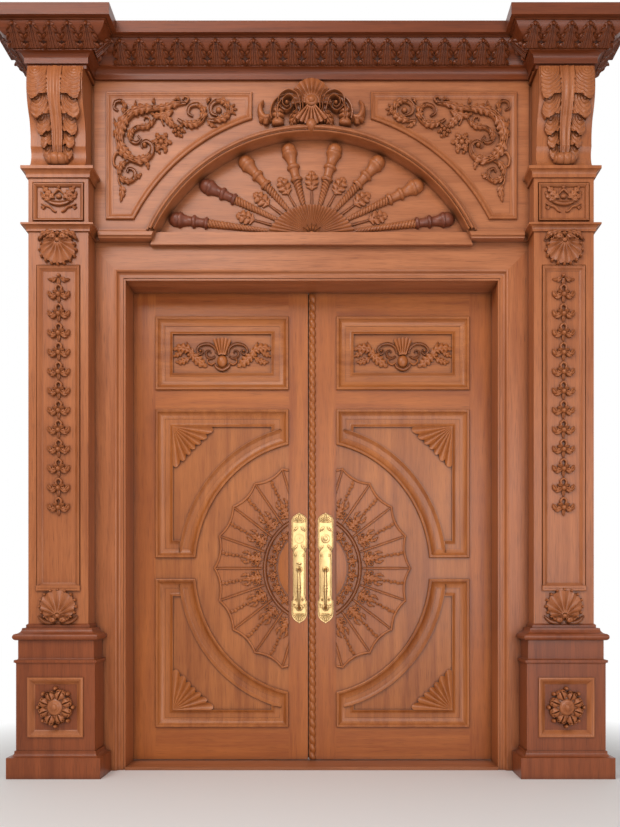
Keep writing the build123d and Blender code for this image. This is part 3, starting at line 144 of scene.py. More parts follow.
def timber_group():
    """Teak figure along Z of the vector it is given: streaks, fibres, pores, patches, and painted shade in
    its recesses.
    """
    tree = bpy.data.node_groups.new("timber_figure", "ShaderNodeTree")
    for key in ("Along grain", "Place"):
        socket(tree, key, "INPUT", "NodeSocketVector")
    for key in ("Light", "Dark", "Soot"):
        socket(tree, key, "INPUT", "NodeSocketColor", (0.2, 0.07, 0.025, 1))
    for key in ("Figure", "Hollows"):
        socket(tree, key, "INPUT", "NodeSocketFloat", 0.6)
    socket(tree, "Color", "OUTPUT", "NodeSocketColor")
    for key in ("Roughness", "Height"):
        socket(tree, key, "OUTPUT", "NodeSocketFloat")
    first = node(tree, "NodeGroupInput").outputs
    last = node(tree, "NodeGroupOutput").inputs

    def stretched(scale):
        mapping = fill(node(tree, "ShaderNodeMapping"), Scale=scale)
        link(tree, first["Along grain"], mapping.inputs["Vector"])
        return mapping.outputs[0]

    def noise(vector, scale, detail, distortion=0.0):
        made = fill(node(tree, "ShaderNodeTexNoise"), Scale=scale, Detail=detail, Distortion=distortion)
        link(tree, vector, made.inputs["Vector"])
        return made.outputs["Fac"]

    streaks = noise(stretched((1, 1, 0.055)), 34, 5, 0.5)
    bands = noise(stretched((1, 1, 0.09)), 9, 3, 1.2)
    fibres = noise(stretched((1, 1, 0.03)), 260, 3)
    pores = noise(stretched((1, 1, 0.02)), 620, 1)
    patches = noise(first["Place"], 2.3, 3)
    figure = math_node(tree, "ADD", math_node(tree, "MULTIPLY", streaks, 0.55),
                       math_node(tree, "MULTIPLY", bands, 0.45))
    figure = ramp(tree, figure, [(0.36, grey(0)), (0.5, grey(0.55)), (0.64, grey(1))])
    pulled = math_node(tree, "SUBTRACT", figure, 0.5)
    amount = math_node(tree, "MULTIPLY", pulled, first["Figure"])
    spread = math_node(tree, "ADD", amount, math_node(tree, "MULTIPLY", fibres, 0.5))
    spread = math_node(tree, "ADD", spread, math_node(tree, "MULTIPLY", patches, 0.7))
    spread = math_node(tree, "SUBTRACT", spread, 0.1, clamp=True)
    colour = mix_colour(tree, spread, first["Dark"], first["Light"])
    pits = ramp(tree, pores, [(0.3, grey(0.62)), (0.42, grey(1))])
    colour = mix_colour(tree, 1.0, colour, pits, "MULTIPLY")
    # Painted shade: recesses found by ambient occlusion are darkened towards the shadow colour.
    hollow = fill(node(tree, "ShaderNodeAmbientOcclusion", samples=8), Distance=HOLLOW_REACH)
    shade = ramp(tree, hollow.outputs["AO"], [(0.35, grey(1)), (0.92, grey(0))])
    shade = math_node(tree, "MULTIPLY", shade, first["Hollows"], clamp=True)
    colour = mix_colour(tree, shade, colour, first["Soot"])
    link(tree, colour, last["Color"])
    rough = math_node(tree, "ADD", math_node(tree, "MULTIPLY", fibres, 0.16),
                      math_node(tree, "MULTIPLY", patches, 0.14))
    link(tree, math_node(tree, "ADD", rough, 0.22), last["Roughness"])
    depth = math_node(tree, "ADD", math_node(tree, "MULTIPLY", fibres, 0.5),
                      math_node(tree, "MULTIPLY", pits, 0.5))
    link(tree, depth, last["Height"])
    return tree


TIMBER = timber_group()
TURNS = {"up": (0, 0, 0), "across": (0, math.radians(90), 0)}


def shaded(name):
    """New material with one Principled shader: the material, its node tree and the shader."""
    material = bpy.data.materials.new(name)
    material.use_nodes = True
    tree = material.node_tree
    tree.nodes.clear()
    shader = node(tree, "ShaderNodeBsdfPrincipled")
    link(tree, shader.outputs[0], node(tree, "ShaderNodeOutputMaterial").inputs[0])
    return material, tree, shader


def timber(name, light, dark, grain="up", figure=0.6, recess_shade=0.6, coat=0.1):
    """Waxed teak between two tones, its grain upright or level, with painted shade in its recesses."""
    material, tree, shader = shaded(name)
    place = node(tree, "ShaderNodeTexCoord").outputs["Object"]
    turn = fill(node(tree, "ShaderNodeMapping"), Rotation=TURNS[grain])
    link(tree, place, turn.inputs["Vector"])
    wood = node(tree, "ShaderNodeGroup", node_tree=TIMBER)
    link(tree, turn.outputs[0], wood.inputs["Along grain"])
    link(tree, place, wood.inputs["Place"])
    fill(wood, Light=light + (1,), Dark=dark + (1,), Soot=RECESS_SHADE_COLOUR, Figure=figure, Hollows=recess_shade)
    link(tree, wood.outputs["Color"], shader.inputs["Base Color"])
    link(tree, wood.outputs["Roughness"], shader.inputs["Roughness"])
    bumped = fill(node(tree, "ShaderNodeBump"), Strength=FIBRE_BUMP, Distance=FIBRE_DEPTH)
    link(tree, wood.outputs["Height"], bumped.inputs["Height"])
    link(tree, bumped.outputs[0], shader.inputs["Normal"])
    fill(shader, Coat_Weight=coat, Coat_Roughness=0.22, Specular_IOR_Level=0.28)
    return material


def framing_timber(name, light, dark, rails):
    """Upright grain on the stiles and level grain on the rails between them."""
    material = timber(name, light, dark)
    tree = material.node_tree
    place = [n for n in tree.nodes if n.type == "TEX_COORD"][0].outputs["Object"]
    wood = [n for n in tree.nodes if n.type == "GROUP"][0]
    upright = [n for n in tree.nodes if n.type == "MAPPING"][0]
    level = fill(node(tree, "ShaderNodeMapping"), Rotation=TURNS["across"])
    link(tree, place, level.inputs["Vector"])
    parts = node(tree, "ShaderNodeSeparateXYZ")
    link(tree, place, parts.inputs[0])
    across = math_node(tree, "ABSOLUTE", parts.outputs[0])
    past_stile = math_node(tree, "GREATER_THAN", across, rails[0])
    before_stile = math_node(tree, "LESS_THAN", across, rails[1])
    blend = node(tree, "ShaderNodeMix", data_type="VECTOR")
    link(tree, math_node(tree, "MULTIPLY", past_stile, before_stile), blend.inputs[0])
    link(tree, upright.outputs[0], blend.inputs[4])
    link(tree, level.outputs[0], blend.inputs[5])
    link(tree, blend.outputs[1], wood.inputs["Along grain"])
    return material


def metal(name, colour, rough, tarnish_and_shade, shade_strength=0.5):
    """Polished metal, dulled in random patches, with painted shade in its recesses."""
    material, tree, shader = shaded(name)
    place = node(tree, "ShaderNodeTexCoord").outputs["Object"]
    cloud = fill(node(tree, "ShaderNodeTexNoise"), Scale=38, Detail=4)
    link(tree, place, cloud.inputs["Vector"])
    # Painted shade: recesses found by ambient occlusion are darkened towards the dark tone.
    hollow = fill(node(tree, "ShaderNodeAmbientOcclusion", samples=8), Distance=BRASS_HOLLOW_REACH)
    painted_shade = ramp(tree, hollow.outputs["AO"], [(0.3, grey(1)), (0.9, grey(0))])
    painted_shade = math_node(tree, "MULTIPLY", painted_shade, shade_strength, clamp=True)
    veil = math_node(tree, "MULTIPLY", cloud.outputs["Fac"], 0.35)
    base = mix_colour(tree, veil, colour + (1,), tarnish_and_shade + (1,))
    link(tree, mix_colour(tree, painted_shade, base, tarnish_and_shade + (1,)), shader.inputs["Base Color"])
    spread = math_node(tree, "MULTIPLY", cloud.outputs["Fac"], 0.16)
    link(tree, math_node(tree, "ADD", spread, rough), shader.inputs["Roughness"])
    fill(shader, Metallic=1.0)
    return material


PANEL_TONES = ((0.48, 0.16, 0.042), (0.24, 0.062, 0.013))
RAIL_SPAN = (0.12, 0.79)
frame_up = timber("surround_upright", (0.455, 0.15, 0.05), (0.25, 0.066, 0.018))
frame_across = timber("surround_level", (0.47, 0.168, 0.066), (0.26, 0.075, 0.024), "across")
frame_carved = timber("surround_carving", (0.45, 0.152, 0.052), (0.25, 0.067, 0.019), figure=0.4,
                      recess_shade=0.7)
# The pedestals are painted darker than the pilasters: painted shade at the foot of the surround.
pedestal_shaded_timber = timber("pedestal_shaded_timber", (0.28, 0.07, 0.02), (0.145, 0.031, 0.008))
# The cornice is painted about half as bright as the rest of the surround: painted shade over the top of the
# door.
cornice_shaded_timber = timber("cornice_shaded_timber", (0.215, 0.05, 0.0145), (0.11, 0.023, 0.006), "across", coat=0.04)
cornice_shaded_carved = timber("cornice_shaded_carving", (0.22, 0.053, 0.015), (0.11, 0.025, 0.007), figure=0.4,
                        coat=0.04)
leaf_timber = framing_timber("leaf_framing", (0.47, 0.142, 0.03), (0.25, 0.057, 0.011), RAIL_SPAN)
leaf_panel = timber("leaf_panels", *PANEL_TONES, recess_shade=0.7)
leaf_across = timber("leaf_panels_level", *PANEL_TONES, "across", recess_shade=0.7)
leaf_carved = timber("leaf_carving", (0.47, 0.15, 0.037), (0.24, 0.06, 0.013), figure=0.4, recess_shade=0.65)
fan_carved = timber("corner_fan_carving", (0.5, 0.17, 0.046), (0.28, 0.075, 0.017), figure=0.4, recess_shade=0.3)
torch_dark = timber("torch_rosewood", (0.25, 0.07, 0.034), (0.11, 0.026, 0.013), recess_shade=0.7)
# Near-black finish of the strip between the leaves: painted shade in the gap.
gap_shade_dark = timber("gap_painted_shade", (0.03, 0.02, 0.015), (0.012, 0.008, 0.006), coat=0.0)
brass = metal("handle_brass", (0.65, 0.44, 0.2), 0.3, (0.17, 0.085, 0.022), shade_strength=1.0)
steel = metal("lock_steel", (0.56, 0.56, 0.55), 0.28, (0.2, 0.2, 0.2))

FINISH = (
    (frame_up, ("jambs", "architrave_sides", "pilasters", "upper_blocks", "consoles")),
    (frame_across, ("threshold", "head_jamb", "architrave_head", "frieze_board", "tympanum",
                    "frieze_mouldings", "lunette_sill")),
    (frame_carved, ("acanthus_leaves", "archivolt", "spandrel_frames", "spandrel_scrolls", "sunburst_fan",
                    "torches", "leaf_buds", "cartouche", "shaft_shells", "festoons", "pedestal_rosettes",
                    "block_reliefs")),
    (pedestal_shaded_timber, ("pedestals",)),
    (cornice_shaded_timber, ("cornice_blocks", "cornice_centre")),
    (leaf_timber, ("leaf_frame_left", "leaf_frame_right")),
    (leaf_across, ("upper_panel_left", "upper_panel_right")),
    (leaf_panel, ("burst_board_left", "burst_board_right", "corner_panels_left", "corner_panels_right",
                  "astragal")),
    (leaf_carved, ("upper_relief_left", "upper_relief_right", "sunburst_left", "sunburst_right")),
    (fan_carved, ("corner_fans_left", "corner_fans_right")),
    (brass, ("hinge_frame_leaves", "hinge_leaves_left", "hinge_leaves_right", "handle_plate_left",
             "handle_plate_right", "grip_left", "grip_right", "thumb_piece", "inside_plate",
             "inside_lever", "cylinder_ring", "lock_plug")),
    (steel, ("lock_case", "strike_plate", "latch_bolt", "dead_bolt", "flush_bolt_top",
             "flush_bolt_bottom")))


def finish_with(thing, material):
    thing.data.materials.clear()
    thing.data.materials.append(material)


for material, names in FINISH:
    for name in names:
        finish_with(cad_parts[name], material)


# ---------------------------------------------------------------- carving tools
def along(points, share):
    """Smooth line through points of any number of values, share 0 to 1."""
    span = min(max(share, 0.0), 1.0) * (len(points) - 1)
    i = min(int(span), len(points) - 2)
    t = span - i
    rows = [points[max(i - 1, 0)], points[i], points[i + 1], points[min(i + 2, len(points) - 1)]]
    values = []
    for a, b, c, d in zip(*rows):
        square = (2 * a - 5 * b + 4 * c - d) * t * t
        cube = (3 * b - a - 3 * c + d) * t ** 3
        values.append(0.5 * (2 * b + (c - a) * t + square + cube))
    return values


def straight(points, share):
    """Straight runs through the points, share 0 to 1."""
    span = min(max(share, 0.0), 1.0) * (len(points) - 1)
    i = min(int(span), len(points) - 2)
    t = span - i
    return [a + (b - a) * t for a, b in zip(points[i], points[i + 1])]


def start_edit():
    bpy.ops.object.mode_set(mode="EDIT")
    bpy.ops.mesh.select_all(action="SELECT")


def end_edit():
    """Split the faces, turn them outward and leave edit mode."""
    bpy.ops.mesh.select_all(action="SELECT")
    bpy.ops.mesh.quads_convert_to_tris()
    bpy.ops.mesh.normals_make_consistent(inside=False)
    bpy.ops.object.mode_set(mode="OBJECT")


def carve(name, across, rows, shape, base=-1.0):
    """Grid shaped as carving: shape(u, v) gives x, out, z; its rim is cut straight back to base.

    A shape that closes on itself has no rim, and its base is None.
    """
    deselect()
    bpy.ops.mesh.primitive_grid_add(x_subdivisions=across, y_subdivisions=rows, size=2)
    thing = bpy.context.object
    thing.name = name
    for vertex in thing.data.vertices:
        x, out, z = shape(vertex.co.x, (vertex.co.y + 1) / 2)
        vertex.co = (x * MM, -out * MM, z * MM)
    bpy.ops.object.mode_set(mode="EDIT")
    bpy.ops.mesh.select_mode(type="EDGE")
    bpy.ops.mesh.select_all(action="SELECT")
    bpy.ops.mesh.remove_doubles(threshold=0.00002)
    if base is not None:
        bpy.ops.mesh.select_all(action="DESELECT")
        bpy.ops.mesh.select_non_manifold()
        bpy.ops.mesh.extrude_edges_move()
        bpy.ops.transform.resize(value=(1, 0, 1), center_override=(0, -base * MM, 0))
        bpy.ops.mesh.edge_face_add()
    end_edit()
    return thing


def moved(thing, x=0.0, out=0.0, z=0.0, turn=0.0, size=1.0, flip=False):
    """Size, mirror and turn a piece about its own middle, then set it in its place."""
    change = Matrix.Translation((x * MM, -out * MM, z * MM)) @ Matrix.Rotation(math.radians(-turn), 4, "Y")
    change = change @ Matrix.Scale(size, 4)
    if flip:
        change = change @ Matrix.Scale(-1, 4, (1, 0, 0))
    thing.data.transform(change)
    if flip:
        thing.data.flip_normals()
    return thing


def copied(thing, name, **place):
    """Copy with its own mesh, set in its own place."""
    twin = bpy.data.objects.new(name, thing.data.copy())
    bpy.context.collection.objects.link(twin)
    return moved(twin, **place)


def joined(name, things):
    pick(*things)
    if len(things) > 1:
        bpy.ops.object.join()
    whole = bpy.context.object if len(things) > 1 else things[0]
    whole.name = name
    whole.data.name = name
    return whole


def with_mirror(parts):
    """Parts of the right half and their mirrored copies."""
    return parts + [copied(thing, "mirror", flip=True) for thing in parts]


def on_both_sides(name, thing):
    """A right-hand piece and its mirrored copy as one."""
    return joined(name, with_mirror([thing]))


def settle(thing, material, body, slot, *nodes, degrees=38):
    """Set a finished piece against the architrave's face, give it its finish and hang it on its body."""
    thing.data.transform(Matrix.Translation((0, FACE, 0)))
    pick(thing)
    bpy.ops.object.shade_smooth_by_angle(angle=math.radians(degrees))
    finish_with(thing, material)
    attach(thing, body)
    if nodes:
        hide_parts(*nodes)
    return thing


def settle_on_frame(thing, *nodes, degrees=38):
    return settle(thing, frame_carved, "frame", "carved_wood", *nodes, degrees=degrees)


def to_side(side, *points):
    """Points of the right half, or mirrored where side is -1."""
    return [(side * x, z, wide, high) for x, z, wide, high in points]


def channel(u):
    """Section of a scroll: a hollow between two raised edges."""
    rim = (abs(u) - 0.76) / 0.22
    return 0.5 + 0.5 * math.exp(-rim * rim)


def rounded(u):
    """Section of a half-round bead."""
    return math.sqrt(max(1 - 0.86 * u * u, 0))


def strand(name, points, profile=rounded, across=10, rows=48, base=-1.0):
    """Carved band on a smooth line through points of x, z, half width and height."""
    def shape(u, v):
        x, z, wide, high = along(points, v)
        ahead = along(points, v + 0.012)
        behind = along(points, v - 0.012)
        run_x = ahead[0] - behind[0]
        run_z = ahead[1] - behind[1]
        length = math.hypot(run_x, run_z) or 1.0
        wide = max(wide, 0.4)
        return x - run_z / length * wide * u, max(high, 0.4) * profile(u), z + run_x / length * wide * u
    return carve(name, across, rows, shape, base)


def leaf(name, points, lobes, depth=0.34, forward=0.55, across=14, rows=0, base=-1.0, veins=0.16):
    """Lobed leaf on a smooth line through points of x, z, half width and height."""
    rows = rows or max(18, lobes * 10)

    def shape(u, v):
        side = abs(u)
        lobe = abs(math.sin(math.pi * lobes * v)) if lobes else 1.0
        reach = 1 - depth * (1 - lobe ** 0.65) * side
        at = v + forward * side ** 1.5 / max(lobes, 2) * (1 - v)
        x, z, wide, high = along(points, at)
        ahead = along(points, at + 0.012)
        behind = along(points, at - 0.012)
        run_x = ahead[0] - behind[0]
        run_z = ahead[1] - behind[1]
        length = math.hypot(run_x, run_z) or 1.0
        wide = max(wide, 0.4) * reach
        crown = 0.5 + 0.5 * math.cos(side * 1.9) + 0.34 * side * lobe
        crown -= veins * math.exp(-(side / 0.13) ** 2)
        crown -= veins * 0.8 * (1 - lobe ** 0.8) * min(side * 2, 1)
        out = max(high, 0.5) * max(crown, 0.15)
        return x - run_z / length * wide * u, out, z + run_x / length * wide * u
    return carve(name, across, rows, shape, base)


def curl(x, z, radius, start, turns, wide, high, hand=1, shrink=0.3, steps=14):
    """Points of a scroll that closes on (x, z): start is where it leaves, in degrees."""
    points = []
    for i in range(steps + 1):
        share = i / steps
        size = radius * (1 - share) + radius * shrink * share
        size *= 1 - 0.25 * share
        angle = math.radians(start + hand * 360 * turns * share)
        points.append((x + size * math.cos(angle), z + size * math.sin(angle), wide * (1 - 0.45 * share),
                       high * (1 - 0.12 * share)))
    return points


def knob(name, x, z, wide, tall, high, out=0.0, sharp=1.0, across=12):
    """Round or oval boss whose front is a dome."""
    def shape(u, v):
        angle = math.pi * (u + 1)
        lift = math.cos(v * math.pi / 2) ** sharp
        reach = math.sin(v * math.pi / 2)
        return x + wide * reach * math.cos(angle), out + high * max(lift,
            0.05), z + tall * reach * math.sin(angle)
    return carve(name, max(across, 8) * 2, 6, shape, -1.0)


def fan(name, inner, outer, start, sweep, flutes, thick, ripple, scallop=0.0, hollow=False, dome=0.0,
        rows=8, per_flute=6, base=-1.0, fade=3.0):
    """Fluted fan or shell: outer(angle in degrees) is its reach."""
    def shape(u, v):
        share = (u + 1) / 2
        angle = start + sweep * share
        wave = abs(math.sin(math.pi * flutes * share))
        reach = outer(angle) * (1 - scallop * (1 - wave ** 0.7))
        radius = inner + (reach - inner) * v
        high = thick * (1 - dome * (1 - math.sin(math.pi * (0.15 + 0.75 * v))))
        high += ripple * min(v * fade, 1) * (-wave if hollow else wave ** 0.8 - 1)
        turn = math.radians(angle)
        return radius * math.cos(turn), max(high, 0.5), radius * math.sin(turn)
    return carve(name, flutes * per_flute, rows, shape, base)


def turned(name, stations, across=16, twist=0.0, strands=0, depth=0.0):
    """Turned or roped piece lying on the board, from stations of distance and radius along +X."""
    def shape(u, v):
        reach, radius = straight(stations, v)
        angle = math.pi * (u + 1) / 2
        if strands:
            wave = abs(math.sin(strands * angle / 2 + twist * reach))
            radius *= 1 - depth * (1 - wave ** 0.8)
        return reach, radius * math.sin(angle), radius * math.cos(angle)
    return carve(name, across, len(stations) - 1, shape, -1.0)


def moulding(name, outline, section):
    """Mitred moulding inside a closed outline of x, z; section is a closed loop of inset and height."""
    count = len(outline)
    area = sum(a[0] * b[1] - b[0] * a[1] for a, b in zip(outline, outline[1:] + outline[:1]))
    hand = 1 if area > 0 else -1
    leans = []
    for i in range(count):
        sides = []
        for a, b in ((outline[i - 1], outline[i]), (outline[i], outline[(i + 1) % count])):
            length = math.hypot(b[0] - a[0], b[1] - a[1])
            sides.append((-(b[1] - a[1]) / length * hand, (b[0] - a[0]) / length * hand))
        share = 1 + sides[0][0] * sides[1][0] + sides[0][1] * sides[1][1]
        leans.append(((sides[0][0] + sides[1][0]) / share, (sides[0][1] + sides[1][1]) / share))

    def shape(u, v):
        i = round(v * count) % count
        inset, out = section[round((u + 1) / 2 * (len(section) - 1))]
        return outline[i][0] + leans[i][0] * inset, out, outline[i][1] + leans[i][1] * inset
    return carve(name, len(section) - 1, count, shape, None)


def board(name, outline, out, back):
    """Flat board of any outline, from its face to its back."""
    deselect()
    bpy.ops.mesh.primitive_circle_add(vertices=len(outline), fill_type="NGON")
    thing = bpy.context.object
    thing.name = name
    for vertex, (x, z) in zip(thing.data.vertices, outline):
        vertex.co = (x * MM, -out * MM, z * MM)
    start_edit()
    bpy.ops.mesh.extrude_region_move(TRANSFORM_OT_translate={"value": (0, (out - back) * MM, 0)})
    end_edit()
    return thing


def box_outline(left, right, low, high):
    return [(left, low), (right, low), (right, high), (left, high)]


# ---------------------------------------------------------------- carving on the leaves
CORNER_X = 703
CORNER_LOW = 268
CORNER_HIGH = 1693
RELIEF_X = 455
RELIEF_Z = 2062
PANEL_FACE = LEAF_FACE - 8
ROPE_LOW = 20
ROPE_HIGH = 2360
ROPE_PITCH = 42
BURST_RX = 498
BURST_RZ = 531
BURST_STRETCH = BURST_RZ / BURST_RX
CUSP_PITCH = 18
STILE_EDGE = 120
EDGE_SAG = 24
RIM_HALF = 6.5
RING_MID = 239
CORE_RX = 172
CORE_RZ = 188
CORE_RISE = 17
PLATE = 9


def cut_at_stile(thing):
    """Cut off what lies over the meeting stile."""
    pick(thing)
    start_edit()
    edge = (STILE_EDGE + 0.5) * MM
    bpy.ops.mesh.bisect(plane_co=(edge, 0, 0), plane_no=(1, 0, 0), use_fill=True, clear_inner=True)
    end_edit()
    return thing


def burst_edge(angle):
    """Reach of the scalloped edge, sagging between its cusps."""
    dip = abs(math.sin(math.pi * angle / CUSP_PITCH))
    return BURST_RX - EDGE_SAG * dip ** 0.8


def burst_plate():
    """Flat ground of the sunburst inside its scalloped edge."""
    def shape(u, v):
        angle = 90 * u
        turn = math.radians(angle)
        radius = burst_edge(angle) * v
        return radius * math.cos(turn), PLATE, radius * math.sin(turn) * BURST_STRETCH
    return cut_at_stile(carve("burst_plate", 200, 12, shape))


def burst_rim():
    """Raised bead that follows the scalloped edge."""
    def shape(u, v):
        angle = -90 + 180 * v
        turn = math.radians(angle)
        radius = burst_edge(angle) - RIM_HALF + RIM_HALF * u
        high = PLATE + RIM_HALF * rounded(u) - 1
        return radius * math.cos(turn), high, radius * math.sin(turn) * BURST_STRETCH
    return cut_at_stile(carve("burst_rim", 8, 300, shape))


def burst_ring():
    """Channelled ring between the rays and the middle."""
    points = []
    for i in range(41):
        turn = math.radians(-70 + 3.5 * i)
        points.append((RING_MID * math.cos(turn), (RING_MID + 23) * math.sin(turn), 10, 20))
    return cut_at_stile(strand("burst_ring", points, channel, 10, 120, PLATE - 2))


def burst_core():
    """Smooth low dome in the middle of the sunburst."""
    def shape(u, v):
        turn = math.radians(90 * u)
        share = min(v / 0.94, 1)
        high = PLATE + CORE_RISE * math.sqrt(max(1 - (share * 0.93) ** 2, 0)) if v < 1 else PLATE + 1
        return CORE_RX * share * math.cos(turn), high, CORE_RZ * share * math.sin(turn)
    return cut_at_stile(carve("burst_core", 60, 17, shape, PLATE - 2))


def burst_spray():
    """Husks and a leaf spray lying along +X from the ring to the scalloped edge."""
    parts = []
    for k in range(6):
        x = 366 + 17.5 * k
        size = 0.95 + 0.06 * k
        sway = 2.2 if k % 2 else -2.2
        parts.append(leaf("husk", [(x - 9 * size, sway, 3, 6), (x, sway, 7.5 * size, 8.5),
                                   (x + 10 * size, sway, 1.5, 5)], 0, across=6, rows=7))
    parts.append(leaf("spray", [(256, 0, 9, 8), (282, 0, 20, 11), (318, 0, 15, 10), (360, 0, 3, 6)], 5,
                      across=10, rows=40))
    for side in (-1, 1):
        hook = curl(296, side * 25, 13, -160 * side, 1.2, 4.4, 9, -side, 0.25)
        parts += [
            strand("hook", [(260, side * 18, 4, 7)] + hook, rounded, 6, 34),
            leaf("blade", [(310, side * 12, 4, 7), (334, side * 25, 9, 9.5), (362, side * 19, 1.5, 5)], 3,
                 across=6, rows=18),
            leaf("low_blade", [(266, side * 10, 4, 7), (274, side * 28, 7, 9), (268, side * 40, 1.5, 5)], 2,
                 across=6, rows=14)]
    return joined("burst_spray", parts)


def ring_spray():
    """Scrolls between the ring and the smooth middle, lying along +X."""
    parts = [leaf("tongue", [(176, 0, 5, 6), (196, 0, 13, 11), (216, 0, 10, 10), (230, 0, 4, 6)], 3,
                  across=8, rows=24)]
    for side in (-1, 1):
        hook = curl(204, side * 22, 13.5, 200 * side, 1.2, 5, 10, side, 0.25)
        parts += [
            strand("curl", hook, rounded, 6, 34),
            knob("eye", 204, side * 22, 4.5, 4.5, 9, across=8),
            leaf("blade", [(180, side * 8, 3, 6), (186, side * 22, 6.5, 9), (180, side * 36, 2, 5)], 2,
                 across=6, rows=14)]
    return joined("ring_spray", parts)


def on_ellipse(thing, name, angle, middle):
    """Copy of a piece that lies along +X, set on the stretched circle at its own angle."""
    turn = math.radians(angle)
    lean = math.atan2(BURST_STRETCH * math.sin(turn), math.cos(turn))
    x = middle * math.cos(turn) - middle * math.cos(lean)
    z = middle * math.sin(turn) * BURST_STRETCH - middle * math.sin(lean)
    return copied(thing, name, x=x, z=z, out=PLATE, turn=math.degrees(lean))


def burst_ridge(angle):
    """Double-edged rib from the ring to a cusp."""
    turn = math.radians(angle)
    points = []
    for reach, wide in ((252, 5.5), (330, 6.3), (410, 6.6), (488, 5)):
        points.append((reach * math.cos(turn), reach * math.sin(turn) * BURST_STRETCH, wide, 6))
    return moved(strand("rib", points, channel, 8, 14), out=PLATE)


def sunburst():
    """Half sunburst of the right leaf."""
    parts = [burst_plate(), burst_rim(), burst_ring(), burst_core()]
    spray = burst_spray()
    inner = ring_spray()
    for i in range(-4, 5):
        ridge = burst_ridge(CUSP_PITCH * i)
        parts.append(cut_at_stile(ridge) if abs(i) > 3 else ridge)
    for i in range(-4, 4):
        twig = on_ellipse(spray, "spray", CUSP_PITCH * (i + 0.5), 350)
        parts.append(cut_at_stile(twig) if i in (-4, 3) else twig)
    for i in range(-3, 3):
        twig = on_ellipse(inner, "inner", CUSP_PITCH * 1.05 * (i + 0.5), 205)
        parts.append(cut_at_stile(twig) if i in (-3, 2) else twig)
    for thing in (spray, inner):
        bpy.data.objects.remove(thing)
    return moved(joined("sunburst", parts), z=BURST_Z, out=LEAF_FACE)


def corner_fan():
    def reach(angle):
        return 214 - 58 * abs(math.sin(math.radians(2 * angle)))
    return fan("corner_fan", 3, reach, 0, 90, 7, 19, 11, scallop=0.1, hollow=True, rows=10, per_flute=10,
               fade=1.4)


def upper_relief():
    """Shell crest between scrolls and leaves, for the panel at the top of a leaf."""
    parts = [
        moved(fan("crest", 44, lambda angle: 122 + 8 * math.sin(math.radians(angle)), 68, 44, 5, 17, 5,
                  scallop=0.07, rows=12, per_flute=6), z=-50),
        knob("drop", 0, -38, 27, 34, 20),
        strand("cup", [(-40, -42, 4, 9), (-30, -66, 8, 13), (0, -80, 9, 15), (30, -66, 8, 13),
                       (40, -42, 4, 9)], channel),
        strand("bar", [(-26, -3, 3, 12), (0, -1, 4, 14), (26, -3, 3, 12)], rounded, 6, 10)]
    half = [
        strand("c_scroll", [(30, 2, 5, 10), (38, 30, 6.5, 13), (63, 48, 7.5, 15), (94, 48, 7, 15),
                            (118, 36, 6.5, 14), (127, 14, 6, 13), (112, -3, 5.5, 12), (96, 8, 4.5, 12),
                            (103, 22, 3.6, 11)], channel, 10, 72),
        knob("eye", 109, 15, 7, 7, 14),
        strand("s_scroll", [(34, -12, 4, 10), (56, -22, 6, 12), (78, -12, 6, 13), (80, 10, 5, 12),
                            (64, 16, 4, 11), (58, 4, 3, 10)], channel, 8, 48),
        strand("low_scroll", [(36, -44, 5, 11), (54, -54, 6, 12), (72, -44, 5, 12), (72, -28, 4, 11),
                              (60, -28, 3, 9)], rounded, 8, 40),
        leaf("inner_leaf", [(168, 4, 8, 10), (140, -16, 24, 15), (108, -44, 25, 15), (76, -66, 5, 7)], 5),
        leaf("outer_leaf", [(140, -6, 8, 10), (172, 20, 24, 16), (212, 28, 24, 15), (250, 22, 4, 7)], 5),
        leaf("low_leaf", [(160, -18, 6, 9), (188, -34, 17, 13), (214, -42, 14, 11), (236, -40, 3, 6)], 4),
        leaf("tip_leaf", [(196, 8, 6, 12), (224, -4, 15, 13), (250, -16, 3, 7)], 3),
        leaf("top_bud", [(168, 34, 4, 8), (176, 48, 7, 11), (178, 62, 2, 6)], 2, across=8),
        knob("flower", 168, -8, 11, 10, 19)]
    return joined("upper_relief", parts + with_mirror(half))


def on_both_leaves(thing, what, kind, material, slot, degrees=38):
    """A piece of the right leaf and its mirrored copy, each on its own leaf in place of a node."""
    twin = copied(thing, kind + what + "_left", flip=True)
    thing.name = kind + what + "_right"
    settle(thing, material, "leaf_right", slot, what + "_right", degrees=degrees)
    settle(twin, material, "leaf_left", slot, what + "_left", degrees=degrees)


def leaf_carvings():
    burst = sunburst()
    high = moved(corner_fan(), x=CORNER_X, z=CORNER_HIGH, out=PANEL_FACE, turn=180)
    low = moved(corner_fan(), x=CORNER_X, z=CORNER_LOW, out=PANEL_FACE, turn=90)
    fans = joined("corner_fans", [high, low])
    relief = moved(upper_relief(), x=RELIEF_X, z=RELIEF_Z, out=PANEL_FACE)
    rope = astragal_rope()
    on_both_leaves(burst, "sunburst", "carved_", leaf_carved, "leaf_carving")
    on_both_leaves(fans, "corner_fans", "carved_", fan_carved, "leaf_carving")
    on_both_leaves(relief, "upper_relief", "carved_", leaf_carved, "leaf_carving")
    settle(rope, leaf_carved, "leaf_right", "leaf_carving", "astragal")


def astragal_rope():
    """Barley-twist strip over the meeting line."""
    def shape(u, v):
        z = ROPE_LOW + (ROPE_HIGH - ROPE_LOW) * v
        angle = math.pi * (u + 1) / 2
        wave = abs(math.sin(angle / 2 - math.pi * z / ROPE_PITCH))
        radius = 1 - 0.42 * (1 - wave ** 0.8)
        return 17.5 * radius * math.cos(angle), 15 * radius * math.sin(angle), z
    return moved(carve("astragal_rope", 14, 620, shape, 0.2), out=LEAF_FACE)


leaf_carvings()


# ---------------------------------------------------------------- lunette
ARCH_BELOW = SILL_TOP - ARCH_Z
FAN_R = 236.9
FAN_BELOW = 87.9


